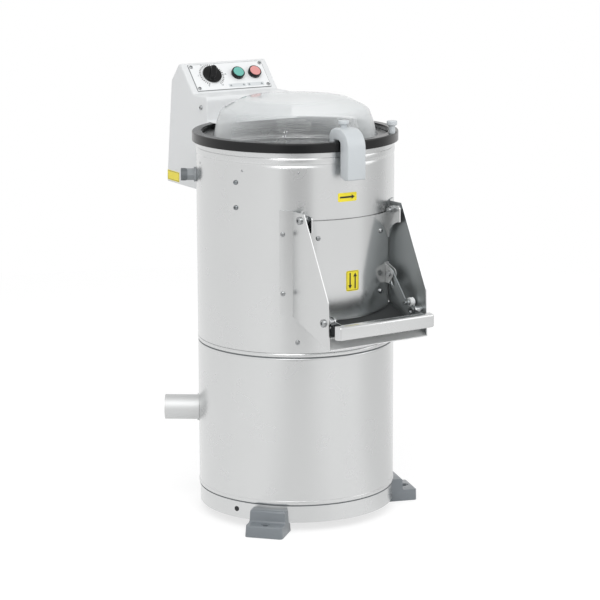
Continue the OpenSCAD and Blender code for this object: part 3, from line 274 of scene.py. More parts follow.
def make_finishes(f):
    """Builds every material once. Keys are the record's slots, and a few names of the scene's own."""
    beaded_with_painted_shade = linear("#eeefef"), 0.75, 0.0, darker(f.inner, 0.75)
    return {
        # AISI 304 sheet, belt-brushed: pale neutral grey that draws lights out into upright bands
        "stainless": brushed("Brushed stainless steel", f.steel, 0.27, 0.55),
        # The same sheet, less brushed: the door mirrors the cheek beside it
        "door_steel": brushed("Satin stainless steel", f.steel, 0.2, 0.3),
        # Cheeks and tray: the inner colour is painted shade on their inner faces and on faces that look
        # up
        "cheek_steel": brushed("Stainless steel with a mill inside", f.steel, 0.26, 0.0, f.inner),
        # The chute's floor, blasted with glass beads: rough enough to take light from all sides; its
        # faces that look up above the lip get painted shade, a quarter as bright as the cheeks' inner
        # colour
        "chute_steel": brushed("Glass-beaded stainless steel", *beaded_with_painted_shade),
        # Drawn tube and pressed lugs: the light lies along them in soft bands
        "tube_steel": brushed("Drawn stainless tube", f.steel, 0.58),
        # Bright zinc on turned and pressed steel, and a darker steel for two of the drum's screws
        "steel_trim": brushed("Zinc plated steel", f.fastener, 0.2),
        "dark_screws": brushed("Oiled dark steel", linear("#8a8e90"), 0.22),
        # Enamelled aluminium castings: satin, with a faintly lumpy skin
        "cast_grey": coated("Grey enamel on cast aluminium", f.casting, 0.36, 7, 0.15, 0.3),
        # Powder coat on sheet steel: fine orange peel
        "box_grey": coated("Light grey powder coat", f.box_coat, 0.36, 2.4, 0.1, 0.1, 0.03),
        "arm_grey": coated("Light grey coat on a casting", f.arm_coat, 0.34, 5, 0.12, 0.15, 0.04),
        # Moulded ring: near black, with a soft sheen that turns grey on top
        "black_metal": coated("Black satin ring", f.ring_coat, 0.24, 1.6, 0.06, 0.0, 0.1, 0.36),
        "plastic_grey": coated("Glass filled nylon", f.fitting, 0.48, 1.5, 0.15),
        "inlet_grey": coated("Light glass filled nylon", linear("#8f9497"), 0.45, 1.5, 0.12),
        "rubber_black": coated("Black rubber", linear("#232526"), 0.7, 1.2, 0.3),
        "panel_white": coated("White lacquered aluminium", linear("#eff1f2"), 0.3, 3, 0.04, 0.2, 0.02),
        "switch_dark": coated("Black ABS", linear("#0d0e0f"), 0.24, 4, 0.03, 0.1, 0.06, 0.2),
        "motor_grey": coated("Grey motor enamel", linear("#7d868c"), 0.45, 3, 0.2),
        "clear_plastic": clear_plastic("Clear polycarbonate", f.dome),
        "nylon_white": coated("White nylon", linear("#eceeee"), 0.4, 2, 0.08),
        # Silicon carbide grit bonded to the plate
        "peeling_grit": coated("Bonded abrasive grit", linear("#6a6d6e"), 0.85, 1.4, 1.0, 0.0, 0.35),
        "button_green": coated("Green ABS", f.start, 0.22, 6, 0.03, 0.4, 0.03),
        "button_red": coated("Red ABS", f.stop, 0.22, 6, 0.03, 0.4, 0.03),
        "label": coated("Yellow vinyl", f.label, 0.35, 8, 0.03, 0.2, 0.03),
        "ink": coated("Black printing ink", linear("#1c1b16"), 0.5, 3, 0.05),
        "pale_ink": coated("Pale grey printing ink", linear("#d6dadc"), 0.5, 3, 0.05, 0.0, 0.03),
        "grey_ink": coated("Grey printing ink", linear("#8f9598"), 0.5, 3, 0.05, 0.0, 0.03),
        # Painted shade for the dark lines in the seams, under the base bead and round the panel plate
        "painted_shade_grey": coated("Grey joint sealant", linear("#5e6264"), 0.6, 2, 0.2),
    }


# Small tools for places and outlines, in millimetres

def spot(x, y, z):
    """A point from millimetres."""
    return Vector((x, y, z)) * MM


def moved(x, y, z):
    """A place at that point, unturned."""
    return Matrix.Translation(spot(x, y, z))


def outward(az, r, z):
    """A point from its azimuth (from -Y towards +X), radius and height."""
    a = radians(az)
    return spot(r * sin(a), -r * cos(a), z)


def out_place(az, r, z):
    """A place on the drum: local X runs round it, Y up and Z outwards."""
    a = radians(az)
    turn = Matrix(((cos(a), 0, sin(a)), (sin(a), 0, -cos(a)), (0, 1, 0)))
    return Matrix.LocRotScale(outward(az, r, z), turn.to_quaternion(), None)


def panel_place(x, s, n=0.0):
    """A place on the sloping panel: X to the right, Y up the slope and Z out of it."""
    a = radians(SLOPE_A)
    at = SLOPE_FOOT + (SLOPE_LEN - s) * Vector((cos(a), sin(a)))
    return (TOP @ moved(x, at[0], at[1])
            @ Matrix.Rotation(a, 4, "X") @ Matrix.Translation((0, 0, n * MM)))


def box_sides():
    """The places of the screws in the box's two sides."""
    return [TOP @ moved(side * BOX_X, 214, 811)
            @ Matrix.Rotation(side * pi / 2, 4, "Y") for side in (-1, 1)]


def cover_places(lift):
    """The places of the rear cover's screws, lifted off the box's back."""
    lean = Matrix.Rotation(-atan2(BACK_OUT.x, BACK_OUT.y), 4, "X")
    made = []
    for x in (-BOX_X + 10, BOX_X - 10):
        for s in (18, (BACK_HIGH - BACK_LOW).length - 18):
            at = BACK_LOW + s * BACK_UP + lift * BACK_OUT
            made.append(TOP @ moved(x, at.x, at.y) @ lean)
    return made


def inset(points, depth):
    """An outline moved inwards, for the inside of a sheet."""
    made = []
    for i, here in enumerate(points):
        a = (here - points[i - 1]).normalized()
        b = (points[(i + 1) % len(points)] - here).normalized()
        a, b = Vector((-a.y, a.x)), Vector((-b.y, b.x))
        made.append(here + depth * (a + b) / (1 + a.dot(b)))
    return made


def filleted(corners, steps=5):
    """An outline whose corners (place, radius) are rounded."""
    made = []
    for i, (at, radius) in enumerate(corners):
        here, before = Vector(at), Vector(corners[i - 1][0])
        after = Vector(corners[(i + 1) % len(corners)][0])
        if not radius:
            made.append(here)
            continue
        a, b = (before - here).normalized(), (after - here).normalized()
        half = a.angle(b) / 2
        run = radius / tan(half)
        centre = here + (a + b).normalized() * (radius / sin(half))
        start, stop = here + a * run - centre, here + b * run - centre
        sweep = start.angle_signed(stop)
        for k in range(steps + 1):
            made.append(centre + Matrix.Rotation(-sweep * k / steps, 2) @ start)
    return made


def softened(corners, steps):
    """A chain whose inner corners turn as free curves and whose ends stay."""
    made = [Vector(corners[0][0])]
    for i in range(1, len(corners) - 1):
        here, radius = Vector(corners[i][0]), corners[i][1]
        a, b = Vector(corners[i - 1][0]) - here, Vector(corners[i + 1][0]) - here
        half = a.angle(b) / 2
        run = min(radius / tan(half), a.length * 0.45, b.length * 0.45)
        start, stop = here + a.normalized() * run, here + b.normalized() * run
        for k in range(steps + 1):
            t = k / steps
            made.append(start * (1 - t) ** 2 + here * 2 * t * (1 - t) + stop * t ** 2)
    made.append(Vector(corners[-1][0]))
    return made


def box_outline(w, h, r, steps=4):
    return filleted([((-w / 2, -h / 2), r), ((w / 2, -h / 2), r), ((w / 2, h / 2), r),
                     ((-w / 2, h / 2), r)], steps)


def arrow_outline(reach, head, shaft, turn=0.0, at=(0.0, 0.0)):
    """An arrow along +X from its middle, turned and moved."""
    half = reach / 2
    points = [(-half, -shaft / 2), (half - head, -shaft / 2), (half - head, -head * 0.55),
              (half, 0), (half - head, head * 0.55), (half - head, shaft / 2), (-half, shaft / 2)]
    spin = Matrix.Rotation(radians(turn), 2)
    return [spin @ Vector(p) + Vector(at) for p in points]


# Small tools for pieces

def neighbours(sides):
    """Each index round a ring with the next one."""
    return [(i, (i + 1) % sides) for i in range(sides)]


def linked(name, data):
    made = bpy.data.objects.new(name, data)
    bpy.context.scene.collection.objects.link(made)
    return made


def new_piece(name, bm):
    mesh = bpy.data.meshes.new(name)
    bm.to_mesh(mesh)
    bm.free()
    return linked(name, mesh)


def finish_piece(piece, finish, body, replaced=(), smooth=35, slot=None):
    """Gives a piece its material and soft shading, and lets it ride on its body. The slot argument is
    not used."""
    piece.data.materials.clear()
    piece.data.materials.append(finishes[finish])
    piece.data.shade_smooth()
    piece.data.set_sharp_from_angle(angle=radians(smooth))
    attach(piece, body)
    slot = slot or finish
    if replaced:
        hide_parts(*replaced)


def plain_mesh(piece):
    """What a piece looks like with its modifiers, as a mesh."""
    bpy.context.view_layer.update()
    graph = bpy.context.evaluated_depsgraph_get()
    return bpy.data.meshes.new_from_object(piece.evaluated_get(graph))


def baked(piece):
    """Turns a piece's modifiers into its plain mesh."""
    mesh, old = plain_mesh(piece), piece.data
    piece.modifiers.clear()
    piece.data = mesh
    bpy.data.meshes.remove(old)
    mesh.name = piece.name
    return piece


def rounded(piece, radius, steps=3, by_weight=False):
    """Rounds a piece's sharp edges, or only the edges that were picked."""
    bevel = piece.modifiers.new("Rounding", "BEVEL")
    bevel.width = radius
    bevel.segments = steps
    bevel.limit_method = "WEIGHT" if by_weight else "ANGLE"
    bevel.angle_limit = radians(40)
    bevel.miter_outer = "MITER_ARC"
    bevel.use_clamp_overlap = not by_weight
    return baked(piece)


def cut(piece, *cutters, how="DIFFERENCE"):
    """Takes the cutters' shapes away from a piece, keeps only what lies in them, or adds them."""
    for cutter in cutters:
        carve = piece.modifiers.new("Cut", "BOOLEAN")
        carve.operation = how
        carve.object = cutter
        carve.solver = "EXACT"
    baked(piece)
    for cutter in cutters:
        bpy.data.meshes.remove(cutter.data)
    return piece


def cylinder(r, low, high, place=Matrix(), sides=96):
    """A plain cutter along a place's Z axis."""
    bm = bmesh.new()
    bmesh.ops.create_cone(
        bm, cap_ends=True, segments=sides, radius1=r * MM, radius2=r * MM, depth=(high - low) * MM,
        matrix=place @ Matrix.Translation((0, 0, (low + high) / 2 * MM)))
    return new_piece("cutter", bm)


def prism(outline, x0, x1, place=Matrix()):
    """A solid from x0 to x1 from an outline of outward distances and heights."""
    bm = bmesh.new()
    rings = [[bm.verts.new(place @ spot(x, -u, z)) for u, z in outline] for x in (x0, x1)]
    bm.faces.new(rings[0])
    bm.faces.new(reversed(rings[1]))
    for i, j in neighbours(len(outline)):
        bm.faces.new((rings[0][j], rings[0][i], rings[1][i], rings[1][j]))
    bmesh.ops.recalc_face_normals(bm, faces=bm.faces)
    return bm


def picked(bm, pick):
    """Marks the edges to round."""
    weights = bm.edges.layers.float.new("bevel_weight_edge")
    for edge in bm.edges:
        if len(edge.link_faces) == 2 and edge.calc_face_angle(0) > radians(40) and pick(edge):
            edge[weights] = 1.0
    return bm


def at_sides(half, turn=Matrix()):
    """Picks the edges that lie in a solid's two flat sides."""
    return lambda edge: all(abs(abs((turn @ v.co).x) - half * MM) < 2e-5 for v in edge.verts)


def cad_copy(node, name, keep=None, pick=None):
    """A merged copy of a CAD node. keep chooses its loose parts and pick the edges to round."""
    bm = bmesh.new()
    bm.from_mesh(frame["nodes"][node].data)
    bmesh.ops.remove_doubles(bm, verts=bm.verts, dist=2e-6)
    if keep:
        todo, drop = set(bm.verts), []
        while todo:
            island, front = [], [todo.pop()]
            while front:
                v = front.pop()
                island.append(v)
                near = {e.other_vert(v) for e in v.link_edges} & todo
                todo -= near
                front.extend(near)
            if not keep([v.co / MM for v in island]):
                drop.extend(island)
        bmesh.ops.delete(bm, geom=drop, context="VERTS")
    bmesh.ops.dissolve_limit(bm, angle_limit=radians(0.4), verts=bm.verts, edges=bm.edges)
    return new_piece(name, picked(bm, pick) if pick else bm)


# Geometry Nodes

def new_tree(name, sockets):
    """A tree that takes a mesh, named sizes and a finish: its adder of nodes and its inputs."""
    trees[name] = bpy.data.node_groups.new(name, "GeometryNodeTree")
    face = trees[name].interface
    face.new_socket("Geometry", in_out="OUTPUT", socket_type="NodeSocketGeometry")
    for label, kind, value in (("Geometry", "Geometry", None), *sockets, ("Finish", "Material", None)):
        socket = face.new_socket(label, in_out="INPUT", socket_type="NodeSocket" + kind)
        if value is not None:
            socket.default_value = value
    add = partial(add_node, trees[name])
    return add, add("NodeGroupInput").outputs


def end_tree(add, given, geometry):
    real = add("GeometryNodeRealizeInstances", {"Geometry": geometry})
    add("NodeGroupOutput", (add("GeometryNodeSetMaterial", {
        "Geometry": real, "Material": given["Finish"]}),))


def make_turned_tree():
    """A turned piece: the profile, a chain of points in the XZ plane, goes round the Z axis."""
    add, given = new_tree("Turned profile", [("Steps", "Int", 128)])
    points = add("GeometryNodeAttributeDomainSize", {"Geometry": given[0]}).outputs["Point Count"]
    around = add("Math", (given["Steps"], 1.0), operation="ADD")
    grid = add("GeometryNodeMeshGrid", {"Vertices X": around, "Vertices Y": points})
    place = add("SeparateXYZ", (add("GeometryNodeInputPosition"),)).outputs
    turn = add("Math", (place["X"], tau), operation="MULTIPLY")
    last = add("Math", (points, 1.0), operation="SUBTRACT")
    along = add("Math", (place["Y"], 0.5), operation="ADD")
    row = add("Math", (along, last), operation="MULTIPLY")
    index = add("FunctionNodeFloatToInt", (row,), rounding_mode="ROUND")
    profile = add("GeometryNodeSampleIndex", {
        "Geometry": given[0], "Index": index, "Value": add("GeometryNodeInputPosition")},
        data_type="FLOAT_VECTOR")
    swung = add("VectorRotate", {"Vector": profile, "Angle": turn}, rotation_type="Z_AXIS")
    shaped = add("GeometryNodeSetPosition", {"Geometry": grid, "Position": swung})
    end_tree(add, given, add("GeometryNodeMergeByDistance", {"Geometry": shaped, "Distance": 1e-6}))


def make_scatter_tree():
    """A copy of a part on each seed point, facing along its axis and turned at random."""
    add, given = new_tree("Fasteners", [
        ("Part", "Object", None), ("Most turn", "Float", 1.0), ("Seed", "Int", 3)])
    axis = add("GeometryNodeInputNamedAttribute", {"Name": "axis"}, data_type="FLOAT_VECTOR")
    facing = add("FunctionNodeAlignRotationToVector", {"Vector": axis}, axis="Z")
    turn = add("FunctionNodeRandomValue", {
        "Min": 0.0, "Max": given["Most turn"], "Seed": given["Seed"]})
    spin = add("FunctionNodeAxisAngleToRotation", {"Axis": (0, 0, 1), "Angle": turn})
    rotation = add("FunctionNodeRotateRotation", {
        "Rotation": facing, "Rotate By": spin}, rotation_space="LOCAL")
    part = add("GeometryNodeObjectInfo", {"Object": given["Part"]}).outputs["Geometry"]
    end_tree(add, given, add("GeometryNodeInstanceOnPoints", {
        "Points": given[0], "Instance": part, "Rotation": rotation}))


def make_bars_tree():
    """Small bars on an arc in the XY plane, each pointing away from its centre."""
    add, given = new_tree("Bars on an arc", [
        ("Count", "Int", 31), ("Radius", "Float", 0.02), ("Sweep", "Float", tau),
        ("Bar length", "Float", 0.003), ("Bar width", "Float", 0.001), ("Bar height", "Float", 0.001)])
    line = add("GeometryNodeMeshLine", {"Count": given["Count"], "Offset": (0, 0, 0)})
    last = add("Math", (given["Count"], 1.0), operation="SUBTRACT")
    share = add("Math", (add("GeometryNodeInputIndex"), last), operation="DIVIDE")
    middle = add("Math", (share, 0.5), operation="SUBTRACT")
    turn = add("Math", (middle, given["Sweep"]), operation="MULTIPLY")
    at = add("VectorRotate", {
        "Vector": add("CombineXYZ", {"Y": given["Radius"]}), "Angle": turn},
        rotation_type="Z_AXIS")
    placed = add("GeometryNodeSetPosition", {"Geometry": line, "Position": at})
    size = add("CombineXYZ", (given["Bar width"], given["Bar length"], given["Bar height"]))
    end_tree(add, given, add("GeometryNodeInstanceOnPoints", {
        "Points": placed, "Instance": add("GeometryNodeMeshCube", {"Size": size}),
        "Rotation": add("CombineXYZ", {"Z": turn})}))


def grown(tree, name, seeds, finish, **values):
    """Runs a tree on a seed mesh and keeps the result as a plain mesh."""
    piece = linked(name, seeds)
    modifier = piece.modifiers.new(name, "NODES")
    modifier.node_group = trees[tree]
    ids = {s.name: s.identifier for s in trees[tree].interface.items_tree if s.in_out == "INPUT"}
    for label, value in {"finish": finishes[finish], **values}.items():
        modifier[ids[label.replace("_", " ").capitalize()]] = value
    return baked(piece)


def turned(name, points, steps, finish):
    """A piece turned from a chain of radii and heights."""
    mesh = bpy.data.meshes.new(name)
    mesh.from_pydata([spot(r, 0, z) for r, z in points], [], [])
    return grown("Turned profile", name, mesh, finish, steps=steps)


def scattered(name, part, places, finish, most_turn, seed):
    """A part's copies on their places, as one piece; the part itself is used up."""
    mesh = bpy.data.meshes.new(name)
    mesh.from_pydata([p.to_translation() for p in places], [], [])
    axis = mesh.attributes.new("axis", "FLOAT_VECTOR", "POINT")
    axis.data.foreach_set("vector", [c for p in places for c in p.col[2][:3]])
    piece = grown("Fasteners", name, mesh, finish, part=part, most_turn=most_turn, seed=seed)
    bpy.data.meshes.remove(part.data)
    return piece


def level_ring(bm, r, z, sides):
    """A level ring of points."""
    turns = [tau * i / sides for i in range(sides)]
    return [bm.verts.new(spot(r * cos(a), r * sin(a), z)) for a in turns]


def screw_shape(size, shank):
    """A socket screw: domed head, hexagon pocket and plain shank."""
    head_r, head_h, shank_r, socket = size
    # The head is straight for its lower part, then domes in to a flat round the pocket
    around, flat, straight = 24, 0.62, 0.3
    rings = [(shank_r, -shank), (shank_r, 0), (head_r, 0), (head_r, straight * head_h)]
    for k in range(1, 5):
        a = pi / 8 * k
        rings.append((head_r * (flat + (1 - flat) * cos(a)), head_h * (straight + 0.7 * sin(a))))
    bm = bmesh.new()
    loops = [level_ring(bm, r, z, around) for r, z in rings]
    for low, high in zip(loops, loops[1:]):
        for i, j in neighbours(around):
            bm.faces.new((low[i], low[j], high[j], high[i]))
    bm.faces.new(reversed(loops[0]))
    mouth, floor = [level_ring(bm, socket / sqrt(3), z, 6) for z in (head_h, head_h * 0.35)]
    top, share = loops[-1], around // 6
    for i, j in neighbours(6):
        for k in range(share):
            a = i * share + k
            bm.faces.new((top[a], top[(a + 1) % around], mouth[i if k < share // 2 else j]))
        bm.faces.new((top[i * share + share // 2], mouth[j], mouth[i]))
        bm.faces.new((mouth[i], mouth[j], floor[j], floor[i]))
    bm.faces.new(floor)
    bmesh.ops.recalc_face_normals(bm, faces=bm.faces)
    return new_piece("screw", bm)


def screws(name, size, shank, places, node, seed=3, body="frame", finish="steel_trim"):
    """One piece of like screws on one body."""
    piece = scattered(name, screw_shape(size, shank), places, finish, pi / 3, seed)
    finish_piece(piece, finish, body, [node], slot="steel_trim")


def print_sheet(name, finish, place, lift, thick, outlines=(), frames=(), bend_r=None, body="frame"):
    """Outlines and frames as thin raised sheets, flat on a place or bent round the drum."""
    bm = bmesh.new()
    for outline in outlines:
        bm.faces.new([bm.verts.new((p[0], p[1], lift)) for p in outline])
    for outer, inner in frames:
        a, b = [[bm.verts.new((p[0], p[1], lift)) for p in edge] for edge in (outer, inner)]
        for i, j in neighbours(len(a)):
            bm.faces.new((a[i], a[j], b[j], b[i]))
    bm.normal_update()
    for face in bm.faces:
        if face.normal.z < 0:
            face.normal_flip()
    if bend_r:
        strip = 2.5
        for k in range(-24, 24):
            bmesh.ops.bisect_plane(
                bm, geom=bm.verts[:] + bm.edges[:] + bm.faces[:], plane_co=(k * strip, 0, 0),
                plane_no=(1, 0, 0))
    bm.verts.index_update()
    solid = bmesh.new()
    low, high = [], []
    for level, rise in ((low, 0), (high, thick)):
        for v in bm.verts:
            x, y, n = v.co.x, v.co.y, v.co.z + rise
            if bend_r:
                a = x / bend_r
                x, n = (bend_r + n) * sin(a), (bend_r + n) * cos(a) - bend_r
            level.append(solid.verts.new(place @ spot(x, y, n)))
    for face in bm.faces:
        corners = [v.index for v in face.verts]
        solid.faces.new([high[i] for i in corners])
        solid.faces.new([low[i] for i in reversed(corners)])
    for edge in bm.edges:
        if edge.is_boundary:
            i, j = [v.index for v in edge.verts]
            solid.faces.new((low[i], low[j], high[j], high[i]))
    bm.free()
    bmesh.ops.recalc_face_normals(solid, faces=solid.faces)
    finish_piece(new_piece(name, solid), finish, body)


def print_dial(sizes):
    """Ticks on most of a circle and a number beside every sixth."""
    ink, numbers, sweep, number_h, gap = 0.08 * MM, 6, 300, 5.5, 5.2
    dial = grown("Bars on an arc", "dial_ticks", bpy.data.meshes.new("dial"), "ink",
                 count=sizes.ticks, radius=sizes.tick_r, sweep=radians(sweep),
                 bar_length=sizes.tick_l, bar_width=0.0018, bar_height=ink * 2)
    dial.data.transform(panel_place(*TIMER_AT, PLATE_T))
    finish_piece(dial, "ink", "frame")
    for k in range(numbers):
        turn = radians(sweep / 2 - k * sweep / (numbers - 1))
        at = Vector((-sin(turn), cos(turn))) * (sizes.tick_r / MM + gap)
        text = bpy.data.curves.new("number", "FONT")
        text.body, text.size, text.offset, text.extrude = str(3 * k), number_h * MM, 0.2 * MM, ink
        text.align_x = text.align_y = "CENTER"
        outline = linked("number", text)
        mesh = plain_mesh(outline)
        bpy.data.objects.remove(outline)
        mesh.transform(panel_place(TIMER_AT[0] + at.x, TIMER_AT[1] - at.y, PLATE_T))
        finish_piece(linked(f"dial_number_{k}", mesh), "grey_ink", "frame")


def dimmed(add, way, spots):
    """One, but less in the level directions listed as azimuth, half width and depth."""
    level = add("VectorMath", (way, (1, 1, 0)), operation="MULTIPLY")
    level = add("VectorMath", (level,), operation="NORMALIZE")
    light = 1.0
    for az, width, depth in spots:
        near = add("VectorMath", (level, outward(az, 1000, 0)), operation="DOT_PRODUCT")
        dim = add("MapRange", {
            "Value": near, "From Min": cos(radians(width)),
            "To Min": 1.0, "To Max": 1 - depth}, interpolation_type="SMOOTHSTEP")
        light = add("Math", (light, dim), operation="MULTIPLY")
    return light


def lay_floor(studio):
    """A pale disc that keeps the shadow, and glows to white where it is seen."""
    below = 0.5 * MM
    bm = bmesh.new()
    bmesh.ops.create_circle(bm, cap_ends=True, radius=studio.floor, segments=96,
                            matrix=Matrix.Translation((0, 0, -below)))
    floor = new_piece("studio_floor", bm)
    material, add = new_material("Pale studio floor")
    ray = add("LightPath").outputs
    seen = add("Math", (ray["Is Camera Ray"], ray["Is Glossy Ray"]), operation="ADD",
               use_clamp=True)
    seen = add("Math", (seen, ray["Is Transmission Ray"]), operation="ADD", use_clamp=True)
    tone = add("Mix", (seen, (0.75, 0.75, 0.75, 1), (0.35, 0.35, 0.35, 1)), data_type="RGBA")
    place = add("TexCoord").outputs["Object"]
    mirrored = dimmed(add, place, ((-32.0, 36.0, 0.16), (72.0, 44.0, 0.22)))
    level = add("Mix", (ray["Is Glossy Ray"], 1.0, mirrored))
    glow = add("Math", (seen, 0.72), operation="MULTIPLY")
    glow = add("Math", (glow, level), operation="MULTIPLY")
    shader = add("AddShader", (
        add("BsdfDiffuse", {"Color": tone}), add("Emission", {"Strength": glow})))
    add("OutputMaterial", {"Surface": shader})
    floor.data.materials.append(material)


def light_room(scene, studio):
    """White where it is seen; in metal it dims softly behind the camera and to the right."""
    scene.world = bpy.data.worlds.new("White room")
    scene.world.use_nodes = True
    tree = scene.world.node_tree
    tree.nodes.clear()
    add = partial(add_node, tree)
    way = add("TexCoord").outputs["Generated"]
    light = dimmed(add, way, ((-32.0, 22.0, 0.5), (72.0, 30.0, 0.28)))
    ray = add("LightPath").outputs
    bright = add("Mix", (ray["Is Glossy Ray"], studio.sky, light))
    seen = add("Math", (ray["Is Camera Ray"], ray["Is Transmission Ray"]),
               operation="ADD", use_clamp=True)
    strength = add("Mix", (seen, bright, 1.0))
    back = add("Background", {"Color": (1, 1, 1, 1), "Strength": strength})
    add("OutputWorld", {"Surface": back})


def aim_camera(scene, studio):
    """Stands where the photograph was taken from."""
    roll, yaw = radians(-0.175), radians(0.102)
    away = Vector((-sin(studio.turn), -cos(studio.turn), 0))
    right = Vector((cos(studio.turn), -sin(studio.turn), 0))
    ahead = (right * sin(yaw) * cos(studio.tilt)
             - away * cos(yaw) * cos(studio.tilt) - Vector((0, 0, sin(studio.tilt))))
    side = ahead.cross(Vector((0, 0, 1))).normalized()
    up = side.cross(ahead)
    side, up = (side * cos(roll) + up * sin(roll), up * cos(roll) - side * sin(roll))
    view = bpy.data.cameras.new("camera")
    view.lens, view.sensor_width, view.sensor_fit = studio.lens, 36.0, "HORIZONTAL"
    view.clip_end = 50
    place = Matrix((side, up, -ahead)).transposed().to_4x4()
    place.translation = away * studio.distance + Vector((0, 0, studio.height))
    scene.camera = linked("camera", view)
    scene.camera.matrix_world = place


class PeelerOperator:
    """What the steps share: each has its own work in build"""
    bl_options = {"REGISTER", "UNDO"}

    def execute(self, context):
        self.build(context.scene)
        return {"FINISHED"}


class PEELER_OT_finishes(PeelerOperator, Operator):
    """Makes the materials and gives each CAD node the one that its slot names"""
    bl_idname = "peeler.finishes"
    bl_label = "Finishes"

    def build(self, scene):
        finishes.update(make_finishes(scene.peeler_finishes))
        make_turned_tree()
        make_scatter_tree()
        make_bars_tree()
        own = {"cheek_left": "cheek_steel", "cheek_right": "cheek_steel", "tray": "cheek_steel",
               "discharge_door": "door_steel", "chute_floor": "chute_steel",
               "drain_pipe": "tube_steel", "clevis_lug": "tube_steel", "inlet_body": "inlet_grey"}
        for part in frame["record"]["subparts"]:
            mesh = frame["nodes"][part["node"]].data
            mesh.materials.clear()
            mesh.materials.append(finishes[own.get(part["node"], part["material_slot"])])


class PEELER_OT_feet(PeelerOperator, Operator):
    """Three cast feet with drafted sides and soft edges"""
    bl_idname = "peeler.feet"
    bl_label = "Feet"

    def build(self, scene):
        sizes = scene.peeler_sizes
        seat_r, heel, step, toe, half, toe_h, step_h = 198.8, 186.5, 219.5, 250.5, 39.0, 23, 46.5
        side = filleted([((heel, 0), 0), ((toe, 0), 0), ((toe, toe_h), 3), ((step, toe_h), 5),
                         ((step, step_h), 3), ((heel, step_h), 0)], 6)
        corner = sizes.toe_round / MM
        plan = filleted([((heel - 5, -half), 0), ((toe, -half), corner), ((toe, half), corner),
                         ((heel - 5, half), 0)], 8)
        bolt_out, hole_r, spot_r, draft = 234, 5.5, 9, 0.1 / 50
        bolt = Matrix.Translation((0, -bolt_out * MM, 0))
        for name, az in FOOT_AZS.items():
            foot = new_piece("cast_" + name, prism(side, -half, half))
            cut(foot, new_piece("cutter", prism(plan, -5, 60, UPRIGHT)), how="INTERSECT")
            rounded(foot, sizes.foot_round)
            for v in foot.data.vertices:
                v.co.x *= 1 - draft * v.co.z / MM
            # The drum's seat, the bolt's hole and the spot face under its head
            cut(foot, cylinder(seat_r, 19, 80), cylinder(hole_r, -5, 60, bolt, 48),
                cylinder(spot_r, toe_h - 1, 34, bolt, 64))
            foot.data.transform(Matrix.Rotation(radians(az + TOP_TURN), 4, "Z"))
            finish_piece(foot, "cast_grey", "frame", [name], 30)


class PEELER_OT_dome(PeelerOperator, Operator):
    """The clear dome, turned from its profile"""
    bl_idname = "peeler.dome"
    bl_label = "Dome"

    def build(self, scene):
        foot_r, seal_z, foot_t, wall, dome_r, top = 175.75, 767.0, 3.0, 4.0, 165.5, 849.0
        low = seal_z + foot_t

        def side(d):
            """The profile, a depth d inside the outer face."""
            return softened([
                ((dome_r - d, low), 0), ((dome_r - 6.5 - d, low + 29), 60),
                ((dome_r - 16 - d, low + 57 - d * 0.2), 24 - d), ((dome_r - 60, top - d), 40),
                ((0, top - d + 0.5), 0)], 8)

        foot = [(dome_r - wall, seal_z), (foot_r, seal_z), (foot_r, low), (dome_r + 1.2, low),
                (dome_r + 0.3, low + 0.8)]
        chain = foot + side(0)[1:] + side(wall)[::-1][:-1] + foot[:1]
        shell = turned("dome_shell", chain, scene.peeler_sizes.dome_steps, "clear_plastic")
        finish_piece(shell, "clear_plastic", "lid", ["dome"], 50)


class PEELER_OT_lid_arm(PeelerOperator, Operator):
    """The cast lid arm, its knob and the stop post, with soft edges"""
    bl_idname = "peeler.lid_arm"
    bl_label = "Lid arm and knobs"

    def build(self, scene):
        half_w, head_h = 20.0, 9.5
        arm = cad_copy("lid_arm", "cast_lid_arm", pick=at_sides(half_w, TOP.transposed()))
        rounded(arm, scene.peeler_sizes.arm_round, 3, True)
        finish_piece(arm, "arm_grey", "lid", ["lid_arm"], 30)
        for node, body in (("arm_knob", "lid"), ("stop_post", "frame")):
            foot_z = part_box(node)[1].z - head_h * MM

            def head_edge(edge, foot_z=foot_z):
                return all(v.co.z > foot_z for v in edge.verts)

            knob = rounded(cad_copy(node, "turned_" + node, pick=head_edge), 0.0015, 3, True)
            finish_piece(knob, "arm_grey", body, [node], 30)


